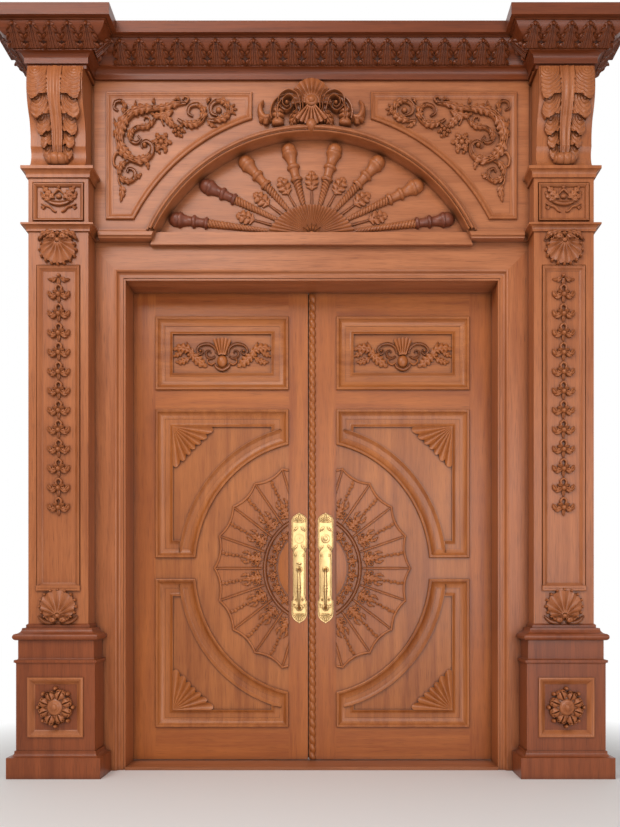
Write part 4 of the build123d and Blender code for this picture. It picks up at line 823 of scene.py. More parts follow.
def reach_of(angle, radius, below):
    """Distance from the sill's middle to a circle whose middle lies below it."""
    turn = math.radians(angle)
    return math.sqrt(radius ** 2 - (below * math.cos(turn)) ** 2) - below * math.sin(turn)


def fan_reach(angle):
    return reach_of(angle, FAN_R, FAN_BELOW)


def spoke(i):
    """Angle of a torch (even i) or a bud (odd i); the spokes spread towards the crown."""
    return 90.0 if i == 7 else 7 + 8.15 * i + 0.53 * i * i


def torch_parts(angle):
    """Roped shaft and turned head along +X for the spoke at this angle."""
    length = reach_of(angle, ARCH_R, ARCH_BELOW) - 4
    foot = fan_reach(angle) - 4
    neck = length - 190
    stations = [(foot + (neck - foot) * i / 70, 11.5 + 11.5 * i / 70) for i in range(71)]
    shaft = turned("shaft", stations, 16, math.pi / 15, 3, 0.3)
    head = [(-3, 0.5), (-3, 25), (2, 29), (9, 29.5), (13, 25), (17, 21.5), (36, 21), (54, 24), (58, 30),
            (64, 32.5), (70, 31), (74, 25), (80, 22.5), (100, 25), (120, 32), (125, 37), (131, 39),
            (137, 38), (140, 34.5), (147, 36), (158, 35.5), (169, 31.5), (178, 25), (186, 14), (190, 1)]
    head = [(neck + reach, radius) for reach, radius in head]
    return shaft, turned("head", head, 16)


def bud(angle):
    """Lobed leaf head on a grooved stem, along +X."""
    foot = fan_reach(angle)
    middle = {15.68: 331, 36.22: 300, 61.0: 276}.get(round(angle, 2), 267)
    parts = [
        strand("stem", [(foot - 4, 0, 7, 9), ((foot + middle) / 2, 0, 5.5, 8), (middle - 30, 0, 5, 9)],
               channel, 8, 16),
        leaf("head", [(middle - 46, 0, 10, 9), (middle - 22, 0, 30, 15), (middle + 18, 0, 31, 16),
                      (middle + 49, 0, 6, 8)], 4, depth=0.26, across=16, rows=44),
        leaf("heart", [(middle - 26, 0, 6, 16), (middle, 0, 14, 22), (middle + 30, 0, 3, 15)], 3, across=10,
             rows=30)]
    return joined("bud", parts)


def lunette_fan():
    body = fan("sunburst_fan", 8, fan_reach, 0.5, 179, 30, 26, 7, scallop=0.06, hollow=True, dome=0.1,
               rows=14, per_flute=6, fade=1.3)
    petals = [body, moved(knob("boss", 0, 0, 19, 19, 36), z=4)]
    for i in range(7):
        angle = 12 + 26 * i
        petal = leaf("petal", [(12, 0, 4, 27), (32, 0, 12, 33), (54, 0, 2, 26)], 0, across=8, rows=10)
        petals.append(moved(petal, turn=angle))
    whole = joined("lunette_fan", petals)
    pick(whole)
    start_edit()
    bpy.ops.mesh.bisect(plane_co=(0, 0, -0.0005), plane_no=(0, 0, 1), use_fill=True, clear_inner=True)
    bpy.ops.object.mode_set(mode="OBJECT")
    return moved(whole, z=SILL_TOP, out=LUNETTE_FACE)


def lunette():
    shafts = []
    pale = []
    dark = []
    buds = []
    rosewood = {(0, -1), (2, -1), (0, 1)}
    for i in range(0, 8, 2):
        angle = spoke(i)
        shaft, head = torch_parts(angle)
        moved(shaft, z=SILL_TOP, out=LUNETTE_FACE, turn=angle)
        moved(head, z=SILL_TOP, out=LUNETTE_FACE, turn=angle)
        shafts += [shaft, copied(shaft, "shaft", flip=True)]
        (dark if (i, 1) in rosewood else pale).append(head)
        (dark if (i, -1) in rosewood else pale).append(copied(head, "head", flip=True))
    for i in range(1, 8, 2):
        angle = spoke(i)
        piece = moved(bud(angle), z=SILL_TOP, out=LUNETTE_FACE, turn=angle)
        buds.append(piece)
        if i < 7:
            buds.append(copied(piece, "bud", flip=True))
    settle_on_frame(lunette_fan(), "sunburst_fan")
    settle_on_frame(joined("torch_shafts", shafts), "torches")
    settle_on_frame(joined("torch_heads_pale", pale))
    settle(joined("torch_heads_dark", dark), torch_dark, "frame", "carved_wood")
    settle_on_frame(joined("carved_leaf_buds", buds), "leaf_buds")


lunette()


# ---------------------------------------------------------------- frieze: scrolled spandrels and cartouche
CARTOUCHE_Z = 3192


def sheath(line, start, end, lobes):
    """Leaf that wraps a stretch of a scroll, its lobes standing past the scroll's edges."""
    points = []
    for k in range(5):
        x, z, wide, high = along(line, start + (end - start) * k / 4)
        swell = (0.9, 1.7, 1.85, 1.5, 0.5)[k]
        points.append((x, z, wide * swell, high + (1, 4, 5, 4, 1)[k]))
    return leaf("sheath", points, lobes, depth=0.4, across=12, rows=lobes * 10)


def spandrel():
    """Vine in the right-hand spandrel, in its real place."""
    great = [(600, 3196, 5, 12), (650, 3190, 9, 16), (700, 3172, 11, 19), (752, 3168, 12, 20),
             (806, 3166, 14, 21), (862, 3146, 15, 22), (902, 3100, 16, 22), (918, 3044, 16, 22),
             (910, 2988, 15, 21), (878, 2944, 14, 21), (834, 2922, 13, 20), (792, 2930, 12, 19),
             (764, 2960, 10, 18), (764, 2996, 8, 17), (790, 3014, 7, 16), (814, 3000, 5, 15),
             (808, 2982, 3.5, 14)]
    arc = [(640, 3120, 5, 12), (604, 3098, 9, 17), (560, 3094, 11, 19), (524, 3118, 11, 19),
           (516, 3160, 10, 18), (544, 3188, 9, 17), (580, 3180, 7, 16), (590, 3150, 6, 15),
           (568, 3134, 4, 14)]
    ring = [(500, 3116, 5, 13), (466, 3112, 8, 16), (420, 3122, 10, 18), (396, 3154, 10, 18),
            (410, 3194, 10, 18), (448, 3206, 9, 17), (480, 3184, 8, 16), (478, 3150, 7, 15),
            (450, 3136, 5, 15)]
    inner = [(742, 3140, 4, 12), (756, 3108, 6, 15), (790, 3082, 8, 16), (832, 3078, 9, 17),
             (862, 3054, 9, 17), (864, 3020, 8, 16), (838, 3006, 6, 15), (818, 3022, 5, 14),
             (830, 3040, 3.5, 13)]
    low = [(866, 2926, 6, 14), (896, 2908, 8, 16), (918, 2876, 9, 17), (910, 2838, 9, 17),
           (876, 2822, 8, 16), (848, 2838, 8, 16), (846, 2872, 7, 15), (872, 2884, 5, 14),
           (882, 2866, 4, 13)]
    corner = [(880, 3128, 6, 14), (896, 3150, 7, 16), (892, 3184, 7, 16), (910, 3206, 7, 16),
              (938, 3200, 6, 15), (944, 3174, 5, 14), (926, 3162, 4, 13)]
    sheaths = [(great, 0.03, 0.2, 4), (great, 0.19, 0.34, 4), (great, 0.33, 0.48, 4),
               (great, 0.47, 0.61, 4), (great, 0.6, 0.74, 3), (arc, 0.08, 0.36, 4), (arc, 0.36, 0.62, 3),
               (ring, 0.12, 0.4, 4), (ring, 0.4, 0.66, 3), (inner, 0.1, 0.4, 4), (inner, 0.42, 0.66, 3),
               (low, 0.08, 0.34, 3), (low, 0.34, 0.6, 3), (corner, 0.1, 0.5, 3)]
    parts = []
    for line, rows in ((great, 150), (arc, 110), (ring, 110), (inner, 90), (low, 100), (corner, 70)):
        wider = [(x, z, wide * 1.22, high) for x, z, wide, high in line]
        parts.append(strand("scroll", wider, channel, 12, rows))
    for line, start, end, lobes in sheaths:
        parts.append(sheath(line, start, end, lobes))
    parts += [
        knob("eye_low", 797, 2996, 12, 12, 20),
        strand("hook_up", [(790, 3082, 5, 12), (772, 3100, 5, 14), (778, 3124, 5, 14), (796, 3128, 4, 13),
                           (800, 3114, 3, 12)], rounded, 8, 40),
        strand("hook_side", [(706, 3090, 4, 12), (716, 3120, 6, 15), (700, 3140, 6, 15), (684, 3128, 5, 14),
                             (688, 3112, 3, 12)], rounded, 8, 40),
        knob("end_eye", 444, 3162, 15, 15, 19),
        strand("side_scroll", [(900, 2950, 6, 14), (930, 2958, 7, 15), (946, 2930, 7, 15),
                               (940, 2896, 6, 15), (918, 2894, 5, 14), (914, 2914, 4, 13)], rounded, 8, 50),
        strand("stem_low", [(916, 2860, 5, 13), (922, 2828, 6, 13), (912, 2800, 5, 12)], rounded, 8, 24),
        leaf("bud_low", [(914, 2806, 7, 13), (904, 2782, 16, 17), (908, 2752, 12, 15), (914, 2724, 2, 8)],
             3, across=12),
        leaf("leaf_low", [(852, 2842, 5, 12), (832, 2846, 13, 14), (812, 2862, 3, 8)], 3, across=10),
        leaf("leaf_side", [(806, 2926, 6, 13), (786, 2906, 12, 14), (782, 2880, 3, 8)], 3, across=10),
        leaf("sprig_outer", [(922, 3066, 5, 13), (938, 3096, 8, 13), (944, 3126, 2, 8)], 3, across=8),
        leaf("sprig_outer_low", [(916, 3018, 5, 13), (940, 3040, 8, 13), (948, 3068, 2, 8)], 3, across=8),
        leaf("vine_leaf", [(660, 3160, 9, 16), (700, 3140, 20, 20), (742, 3136, 15, 18),
                           (770, 3150, 3, 10)], 4),
        leaf("vine_leaf_low", [(720, 3150, 8, 16), (690, 3120, 19, 19), (668, 3094, 16, 17),
                               (650, 3078, 3, 9)], 4),
        leaf("top_sprig", [(748, 3184, 5, 13), (756, 3206, 8, 14), (750, 3222, 2, 8)], 2, across=8),
        leaf("top_sprig_two", [(836, 3168, 5, 13), (842, 3192, 7, 13), (840, 3210, 2, 8)], 2, across=8),
        leaf("top_sprig_three", [(626, 3200, 4, 12), (640, 3218, 9, 14), (660, 3206, 3, 9)], 2, across=8),
        strand("top_hook", [(600, 3196, 6, 14), (588, 3216, 6, 14), (606, 3226, 5, 13), (616, 3212, 4, 12)],
               rounded, 8, 36),
        leaf("ring_leaf", [(500, 3190, 6, 14), (492, 3212, 10, 15), (480, 3222, 3, 9)], 2, across=8),
        leaf("ring_leaf_low", [(500, 3112, 6, 13), (480, 3094, 11, 13), (452, 3084, 2, 8)], 3, across=8)]
    for turn in (-34, 4, 42):
        end = leaf("end_leaf", [(0, 0, 5, 13), (-20, 0, 9, 14), (-42, 0, 2, 8)], 2, across=8)
        parts.append(moved(end, x=396, z=3164, turn=turn - 10))
    parts += [flower_head(634, 3070, 31, 5, -90), flower_head(718, 3010, 46, 6, -60)]
    for x, z, size in ((648, 3046, 8), (622, 3040, 8), (700, 2966, 9), (728, 2962, 8), (744, 2986, 7)):
        parts.append(knob("berry", x, z, size, size, 14, across=8))
    both = on_both_sides("spandrel_vines", joined("spandrel_vine", parts))
    settle_on_frame(moved(both, out=FRIEZE_FACE), "spandrel_scrolls")


def flower_head(x, z, radius, petals, start):
    """Small open flower in the vine."""
    parts = [knob("heart", 0, 0, radius * 0.34, radius * 0.34, 22, across=8)]
    for i in range(petals):
        petal = leaf("petal", [(radius * 0.15, 0, radius * 0.12, 12), (radius * 0.6, 0, radius * 0.33, 17),
                               (radius * 1.12, 0, radius * 0.12, 9)], 2, across=8, rows=16)
        parts.append(moved(petal, turn=start + 360 * i / petals))
    return moved(joined("flower", parts), x=x, z=z)


def cartouche():
    """Shell, boss, palmette and curled leaves over the crown of the arch."""
    mid = CARTOUCHE_Z
    parts = [
        moved(fan("shell", 30, lambda a: 97 + 22 * math.sin(math.radians(a)) ** 2, -8, 196, 13, 38, 9,
                  scallop=0.06, hollow=True, dome=0.25, rows=12, per_flute=6), z=mid - 4),
        knob("boss_ring", 0, mid + 2, 34, 31, 46, sharp=0.35),
        knob("boss", 0, mid + 2, 25, 22, 56, sharp=0.7),
        moved(fan("palmette", 26, lambda a: 112 - 4 * abs(math.cos(math.radians(a))), 222, 96, 7, 44, 8,
                  scallop=0.1, dome=0.1, rows=12, per_flute=6), z=mid - 4),
        knob("pendant", 0, 3073, 30, 34, 66, sharp=0.6)]
    half = [
        strand("c_scroll", [(40, 3112, 8, 28), (58, 3146, 12, 36), (66, 3184, 15, 42), (80, 3218, 16, 46),
                            (112, 3230, 16, 46), (142, 3210, 15, 44), (146, 3176, 13, 42),
                            (122, 3156, 11, 40), (100, 3168, 9, 38), (102, 3190, 7, 36)], channel, 12, 110),
        knob("volute_eye", 117, 3186, 13, 13, 44),
        strand("rim", [(30, 3120, 4, 28), (40, 3160, 6, 34), (42, 3204, 7, 38), (58, 3244, 6, 36),
                       (84, 3252, 3, 28)], rounded, 8, 50),
        strand("arm", [(112, 3222, 7, 30), (146, 3206, 13, 38), (168, 3178, 18, 44), (178, 3140, 21, 48),
                       (174, 3108, 20, 46)], channel, 12, 60),
        leaf("curled_leaf", [(150, 3190, 8, 26), (160, 3160, 26, 34), (162, 3124, 32, 44),
                             (160, 3092, 26, 40)], 4, forward=0.2),
        knob("curl_roll", 160, 3093, 30, 17, 46, sharp=0.5),
        strand("outer_arm", [(180, 3150, 6, 24), (200, 3124, 13, 36), (226, 3120, 17, 40),
                             (242, 3144, 16, 40), (244, 3174, 12, 36), (232, 3196, 7, 28)], rounded, 12, 70),
        leaf("outer_leaf", [(186, 3136, 8, 24), (212, 3112, 22, 34), (238, 3120, 18, 32),
                            (252, 3150, 4, 20)], 4, forward=0.2),
        leaf("outer_tip", [(242, 3170, 5, 24), (238, 3192, 8, 26), (228, 3206, 2, 16)], 2, across=8),
        leaf("palm_leaf", [(44, 3150, 8, 30), (66, 3124, 20, 38), (88, 3096, 22, 36), (98, 3074, 5, 20)], 4),
        leaf("small_leaf", [(60, 3160, 5, 26), (80, 3140, 12, 32), (98, 3118, 10, 28), (104, 3100, 3, 18)],
             3, across=10)]
    whole = joined("carved_cartouche", parts + with_mirror(half))
    settle_on_frame(moved(whole, out=FRIEZE_FACE), "cartouche")


spandrel()
cartouche()


# ---------------------------------------------------------------- consoles, cornice and pilasters
CONSOLE_LOW = 2837
CONSOLE_HIGH = 3286


def front_of(node_name, x, z):
    """How far a fixed part stands out at (x, z), in millimetres from the architrave's face."""
    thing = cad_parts[node_name]
    hit, place, normal, index = thing.ray_cast(Vector((x * MM, -2, z * MM)), Vector((0, 1, 0)))
    return (FACE - place.y) / MM if hit else 130.0


LOBE_ENDS = (0.0, 0.33, 0.53, 0.71, 0.87, 1.0)
LOBE_SPREADS = (122, 112, 93, 78, 68)


def console_leaf():
    """Drooping acanthus: toothed lobes hang one over the next on each side of a wide double rib."""
    top = CONSOLE_HIGH - 3
    low = CONSOLE_LOW + 56
    skin = {}

    def shape(u, v):
        z = top + (low - top) * v
        key = round(z, 1)
        if key not in skin:
            skin[key] = front_of("consoles", SHAFT_X, z)
        hang = max(v - 0.055 * abs(u) ** 2 * (1 - v) * min(v * 6, 1), 0)
        lobe = max(i for i in range(5) if hang >= LOBE_ENDS[i] - 0.0001)
        inside = max(hang - LOBE_ENDS[lobe], 0) / (LOBE_ENDS[lobe + 1] - LOBE_ENDS[lobe])
        spread = LOBE_SPREADS[lobe]
        reach = spread * (0.8 + 0.2 * min(inside * 1.6, 1) ** 0.7) * (1 - 0.16 * max(inside - 0.8, 0) / 0.2)
        if lobe == 0:
            reach = spread * (1 - 0.12 * max(inside - 0.8, 0) / 0.2)
        x = reach * u
        side = abs(x)
        stem = 34 - 12 * v
        if side < stem:
            across = side / stem
            high = 7 + 9 * min(v * 1.6, 1) + 3 * math.cos(across * 2 * math.pi)
            high -= 2.5 * math.exp(-((across - 1) / 0.16) ** 2)
            return x, skin[key] + high, z
        share = (side - stem) / max(reach - stem, 1)
        eye_x = spread * 0.74
        eye_z = top + (low - top) * LOBE_ENDS[lobe] - 16
        ringed = math.hypot(side - eye_x, (z - eye_z) * 0.8)
        high = 5 + 22 * inside ** 1.5 * (0.55 + 0.45 * math.sin(math.pi * min(share * 1.1, 1)))
        high += 2.4 * math.sin(ringed / 12.5 * 2 * math.pi) * (0.4 + 0.6 * min(inside * 2, 1))
        high -= 3 * math.exp(-((side - stem) / 5) ** 2)
        teeth = abs(math.sin(math.pi * 2 * share ** 0.8))
        droop = (20 * share + 10 * teeth) * max(inside - 0.5, 0) / 0.5
        return x, skin[key] + max(high, 1.5), z - droop
    blade = carve("console_leaf", 84, 150, shape, 112)

    def roll(u, v):
        """Curled tip at the leaf's foot."""
        angle = math.pi * (u + 1) / 2
        x = -52 * math.cos(angle)
        tilt = math.pi * (v - 0.5)
        fold = abs(math.sin(angle * 9 / 2)) ** 0.6
        radius = 0.88 + 0.12 * fold
        wide = math.sin(angle) ** 0.6
        out = 126 + (44 * math.cos(tilt) * wide) * radius
        return x, out, CONSOLE_LOW + 35 + 33 * math.sin(tilt) * wide * radius
    right = moved(joined("console_leaf", [blade, carve("roll", 72, 24, roll, 112)]), x=SHAFT_X)
    settle_on_frame(on_both_sides("carved_consoles", right), "acanthus_leaves", degrees=34)


SIDE_LOBES = (((26, 22, 4, 10), (36, 12, 7, 14), (41, 0, 3, 9)),
              ((22, 58, 4, 12), (33, 49, 7, 16), (40, 36, 3, 10)),
              ((12, 88, 4, 13), (23, 82, 6, 17), (31, 70, 3, 11)))


def cornice_leaf():
    """One leaf of the cornice band with its curled tip, upright, foot at the bottom."""
    parts = [
        leaf("band_leaf", [(0, 1, 40, 6), (0, 30, 44, 10), (0, 62, 40, 12), (0, 88, 27, 13),
                           (0, 104, 12, 10)], 4, depth=0.42, forward=-0.25, across=14, rows=44, base=-6,
                           veins=0.1),
        strand("mid_rib", [(0, 1, 9, 9), (0, 40, 7, 14), (0, 84, 5, 17), (0, 100, 4, 17)], channel, 8, 16,
               -6)]
    for side in (-1, 1):
        rib = to_side(side, (19, 2, 5, 10), (17, 40, 5, 14), (14, 74, 4.5, 15), (6, 96, 3, 12))
        parts.append(strand("side_rib", rib, rounded, 6, 24, -6))
        for low, middle, tip in SIDE_LOBES:
            parts.append(leaf("side_lobe", to_side(side, low, middle, tip), 0, across=6, rows=9, base=-6))
    parts.append(knob("band_tip", 0, 99, 10, 9, 25, across=8))
    return joined("cornice_leaf", parts)


BAND_Z = 3357
BAND_OUT = 62
BAND_RISE = 79
BAND_RUN = 75
CENTRE_PITCH = 89
BLOCK_PITCH = 83
RETURN_PITCH = 86
RETURN_START = 44
BLOCK_OUT = 135 + 48
BLOCK_HALF = 128 + 48


def cornice_band():
    """Row of leaves that lean outward under the cornice and turn round its two blocks."""
    one = cornice_leaf()
    one.data.transform(Matrix.Rotation(math.atan2(BAND_RUN, BAND_RISE), 4, "X"))
    parts = []
    for i in range(-10, 11):
        parts.append(copied(one, "band", x=i * CENTRE_PITCH, out=BAND_OUT, z=BAND_Z))
    for side in (-1, 1):
        for i in range(-2, 3):
            parts.append(copied(one, "band", x=side * SHAFT_X + i * BLOCK_PITCH, out=BLOCK_OUT, z=BAND_Z))
        for edge in (-1, 1):
            for i in range(3 if edge == side else 1):
                twin = copied(one, "band")
                turn = Matrix.Rotation(math.radians(90 * edge), 4, "Z")
                back = (BLOCK_OUT - RETURN_START - i * RETURN_PITCH) * MM
                place = Matrix.Translation(((side * SHAFT_X + edge * BLOCK_HALF) * MM, -back, BAND_Z * MM))
                twin.data.transform(place @ turn)
                parts.append(twin)
    bpy.data.objects.remove(one)
    settle(joined("cornice_leaf_band", parts), cornice_shaded_carved, "frame", "carved_wood")


def beaded_shell(hang):
    """Ribbed scallop with a beaded rim, hub at its foot."""
    tall = 147 if hang else 166

    def reach(angle):
        """From the hub to a rounded rim, whose middle lies above the hub."""
        turn = math.radians(angle)
        wide = 82
        high = tall * 0.44
        up = tall * 0.27
        a = (math.cos(turn) / wide) ** 2 + (math.sin(turn) / high) ** 2
        b = up * math.sin(turn) / high ** 2
        return (b + math.sqrt(b * b - a * ((up / high) ** 2 - 1))) / a
    parts = [moved(fan("scallop", 12, reach, -24, 228, 10, 25, 9, scallop=0.04, dome=0.3, rows=14,
                       per_flute=7, hollow=True), z=36)]
    beads = 15
    for i in range(beads):
        angle = -22 + 224 * i / (beads - 1)
        turn = math.radians(angle)
        radius = reach(angle) + 2
        parts.append(knob("bead", radius * math.cos(turn), 36 + radius * math.sin(turn), 8.5, 8.5, 23,
                          across=8))
    for side in (-1, 1):
        hook = to_side(side, (8, 6, 5, 16), (34, 2, 9, 18), (62, 8, 10, 18), (84, 24, 7, 15),
                       (92, 34, 3, 11))
        parts += [
            strand("foot_leaf", hook, channel, 10, 40),
            strand("foot_curl", curl(side * 40, 30, 17, 250 if side > 0 else 290, 1.2, 5.5, 19, side, 0.25),
                   rounded, 8, 40),
            knob("hub_volute", side * 24, 16, 17, 15, 25, sharp=0.4),
            knob("hub_eye", side * 24, 16, 7, 6, 31),
            leaf("hub_leaf", to_side(side, (4, 10, 6, 20), (14, 30, 9, 25), (20, 52, 3, 18)), 2, across=8)]
    parts.append(knob("hub", 0, 34, 17, 15, 27))
    if hang:
        for side in (-1, 1):
            crest = to_side(side, (6, 8, 6, 16), (36, -2, 15, 20), (66, 4, 15, 19), (88, 30, 4, 12))
            parts.append(leaf("crest_leaf", crest, 4))
        parts.append(leaf("crest_mid", [(0, 12, 10, 20), (0, -2, 13, 22), (0, -14, 3, 14)], 2, across=10))
    return joined("shell", parts)


def bellflower():
    """One flower of the festoon, hanging down."""
    parts = [
        strand("cup", [(-9, 12, 6, 13), (-13, 28, 6.5, 15), (0, 40, 6.5, 16), (13, 28, 6.5, 15),
                       (9, 12, 6, 13)], rounded, 8, 26),
        leaf("tongue", [(0, -8, 9, 12), (0, -26, 8, 12), (0, -44, 2, 7)], 0, across=8, rows=12)]
    for side in (-1, 1):
        parts += [
            leaf("petal", to_side(side, (4, 4, 9, 13), (20, -10, 14, 19), (38, -7, 13, 20),
                                  (50, 13, 4, 12)), 2, depth=0.2, across=8, rows=24),
            leaf("collar", to_side(side, (3, 14, 7, 13), (16, 9, 9, 16), (28, 14, 3, 10)), 0, across=6,
                 rows=9)]
    parts.append(knob("ball", 0, -4, 14, 14, 27, across=8))
    return joined("bellflower", parts)


def festoon():
    """Chain of twelve bellflowers with its knot at the top."""
    flower = bellflower()
    parts = [copied(flower, "flower", z=2253 - 90.5 * i) for i in range(12)]
    top = []
    for side in (-1, 1):
        top.append(leaf("top_wing", to_side(side, (5, 2330, 8, 12), (26, 2318, 11, 16), (52, 2322, 2.5, 9)),
                        2, across=8))
    top += [
        knob("top_ball", 0, 2338, 10, 10, 18, across=8),
        leaf("top_tongue", [(0, 2326, 8, 12), (0, 2304, 8, 12), (0, 2288, 2, 7)], 0, across=8, rows=12)]
    bpy.data.objects.remove(flower)
    return joined("festoon", parts + top)


def pedestal_rosette():
    """Round boss with eight petals and a bead between each pair."""
    parts = [knob("ground", 0, 0, 66, 72, 20, sharp=0.35, across=16),
             knob("boss_ring", 0, 2, 38, 40, 29, sharp=0.25),
             knob("boss_dip", 0, 2, 27, 29, 33, sharp=0.3),
             knob("boss", 0, 2, 19, 22, 41, sharp=0.6)]
    for i in range(8):
        angle = 45 * i
        tall = 1.08 if angle % 180 == 90 else 1.0
        petal = leaf("petal", [(34, 0, 9, 24), (50, 0, 21, 31), (66, 0, 19, 29), (80, 0, 6, 16)], 0,
                     across=10, rows=14, veins=0.3)
        parts.append(moved(petal, turn=angle + 22.5, size=tall))
        for hand in (-1, 1):
            tip = curl(66, hand * 13, 10, -90 * hand, 0.8, 5.5, 27, hand, 0.35)
            parts.append(moved(strand("tip", tip, rounded, 8, 24), turn=angle + 22.5, size=tall))
        turn = math.radians(angle)
        parts.append(knob("bead", 80 * math.cos(turn), 87 * math.sin(turn), 11, 11, 26, across=10))
    for side in (-1, 1):
        hood = [(0, side * 62, 5, 26), (side * 22, side * 70, 6, 28), (side * 40, side * 62, 6, 27),
                (side * 44, side * 48, 4, 24)]
        parts += [strand("hood", hood, channel, 10, 30),
                  moved(strand("hood", hood, channel, 10, 30), flip=True)]
    return joined("rosette", parts)


def block_relief():
    """Small crest: a swag between two wings, with hooked feet."""
    parts = [
        strand("swag", [(-70, 2, 5, 10), (-40, -20, 9, 13), (0, -28, 11, 15), (40, -20, 9, 13),
                        (70, 2, 5, 10)], channel, 10, 50),
        strand("roof", [(-26, 12, 3, 9), (-12, 28, 5, 12), (0, 36, 6, 14), (12, 28, 5, 12), (26, 12, 3, 9)],
               rounded, 8, 30),
        knob("heart", 0, 6, 15, 12, 15),
        leaf("crown", [(0, 34, 5, 10), (0, 52, 8, 13), (0, 68, 2, 7)], 2, across=8)]
    half = [
        leaf("wing", [(20, -4, 8, 10), (42, 14, 17, 14), (62, 38, 14, 13), (78, 60, 3, 7)], 4, across=12),
        leaf("wing_low", [(34, -16, 6, 9), (58, -4, 13, 13), (76, 12, 10, 11), (84, 30, 2, 6)], 3,
             across=10),
        strand("foot", [(82, -28, 3, 9), (60, -38, 5, 12), (40, -44, 5.5, 12), (26, -60, 5, 12),
                        (12, -66, 4, 10)], rounded, 8, 40),
        leaf("foot_leaf", [(60, -38, 4, 9), (74, -46, 8, 11), (84, -40, 2, 6)], 2, across=8),
        strand("hook", curl(48, 2, 12, 200, 1.1, 4, 12, 1, 0.3), rounded, 8, 30)]
    return joined("block_relief", parts + with_mirror(half))


def pilaster_carvings():
    low = moved(beaded_shell(False), x=SHAFT_X, z=714, out=SHAFT_FACE)
    high = moved(beaded_shell(True), x=SHAFT_X, z=2530, out=SHAFT_FACE, turn=180)
    hung = moved(festoon(), x=SHAFT_X, out=SHAFT_FACE - 10)
    rose = moved(pedestal_rosette(), x=SHAFT_X, z=325, out=DIE_FACE - 10)
    crest = moved(block_relief(), x=SHAFT_X, z=2702, out=SHAFT_FACE - 10)
    shells = joined("shells_right", [low, high])
    settle_on_frame(on_both_sides("carved_shells", shells), "shaft_shells")
    settle_on_frame(on_both_sides("carved_festoons", hung), "festoons")
    settle_on_frame(on_both_sides("carved_rosettes", rose), "pedestal_rosettes")
    settle_on_frame(on_both_sides("carved_block_reliefs", crest), "block_reliefs")


console_leaf()
cornice_band()
pilaster_carvings()


# ---------------------------------------------------------------- handles
ROSE_Z = 1129


def brass_pull():
    """Bowed pull with a swelling in the middle and leafed ends."""
    line = bpy.data.curves.new("pull", "CURVE")
    line.dimensions = "3D"
    line.bevel_depth = 1.0 * MM
    line.bevel_resolution = 5
    line.resolution_u = 10
    line.use_fill_caps = True
    run = [(2, 975, 9), (24, 977, 6.5), (46, 962, 6), (55, 935, 6.8), (58, 905, 8), (59, 878, 9.5),
           (58, 850, 8), (55, 820, 6.8), (46, 793, 6), (24, 778, 6.5), (2, 780, 9)]
    spline = line.splines.new("NURBS")
    spline.points.add(len(run) - 1)
    for point, (out, z, radius) in zip(spline.points, run):
        point.co = (0, -out * MM, z * MM, 1)
        point.radius = radius
    spline.use_endpoint_u = True
    spline.order_u = 3
    bar = bpy.data.objects.new("pull", line)
    bpy.context.collection.objects.link(bar)
    pick(bar)
    bpy.ops.object.convert(target="MESH")
    parts = [bpy.context.object]
    for z in (781, 974):
        parts += [
            knob("foot", 0, z, 17, 17, 8, sharp=0.5),
            knob("foot_boss", 0, z, 11, 11, 13, sharp=0.6)]
    for out, z, size in ((58.5, 892, 11.2), (58.5, 864, 11.2), (59, 878, 11.8)):
        deselect()
        middle = (0, -(out - 0.5) * MM, z * MM)
        bpy.ops.mesh.primitive_uv_sphere_add(segments=20, ring_count=12, radius=size * MM, location=middle)
        ball = bpy.context.object
        ball.scale = (1, 1, 0.42)
        bpy.ops.object.transform_apply(location=True, rotation=True, scale=True)
        parts.append(ball)
    return joined("pull", parts)


PLATE_LEAVES = (((6, 1190, 4, 3), (18, 1178, 8, 5), (28, 1166, 2, 3)),
                ((8, 1098, 4, 3), (20, 1086, 8, 5), (27, 1068, 2, 3)),
                ((6, 772, 4, 3), (18, 786, 8, 5), (28, 802, 2, 3)))


def plate_trim():
    """Engraved work on a handle plate: raised field, rims, fans and beads at its ends."""
    parts = []
    edge = [(0, 712), (16, 724), (32, 748), (34, 786), (34, 812), (27.5, 842), (27.5, 900), (27.5, 1000),
            (27.5, 1058), (34, 1086), (34, 1140), (34, 1214), (30, 1236), (14, 1250), (0, 1254)]
    for side in (-1, 1):
        rim = [(side * x, z, 2.2, 3.4) for x, z in edge]
        parts.append(strand("rim", rim, rounded, 6, 110, -0.5))
    parts += [
        moved(fan("top_fan", 5, lambda a: 30 + 6 * math.sin(math.radians(a)), 12, 156, 9, 5, 2.4,
                  scallop=0.1, rows=8, per_flute=5, base=-0.5), z=1208),
        moved(fan("foot_fan", 5, lambda a: 29 + 8 * math.sin(math.radians(a)), 12, 156, 9, 5, 2.4,
                  scallop=0.1, rows=8, per_flute=5, base=-0.5), z=756, turn=180)]
    for side in (-1, 1):
        for low, middle, tip in PLATE_LEAVES:
            parts.append(leaf("side_leaf", to_side(side, low, middle, tip), 3, across=8, base=-0.5))
        parts += [
            strand("curl", curl(side * 15, 824, 8, 250 if side > 0 else 290, 1.1, 2.4, 4, side, 0.3),
                   rounded, 6, 26, -0.5),
            strand("curl", curl(side * 16, 1044, 8, 110 if side > 0 else 70, 1.1, 2.4, 4, -side, 0.3),
                   rounded, 6, 26, -0.5)]
    for z, size in ((1245, 5), (1232, 3.5), (722, 5), (735, 3.5)):
        parts.append(knob("bead", 0, z, size, size, 5, across=8))
    field = [(0, 836, 17, 2.6), (0, 850, 20, 3), (0, 950, 20, 3.2), (0, 1052, 20, 3), (0, 1066, 17, 2.6)]
    parts.append(strand("field", field, lambda u: math.sqrt(max(1 - 0.6 * u * u, 0)), 12, 30, -0.5))
    return joined("plate_trim", parts)


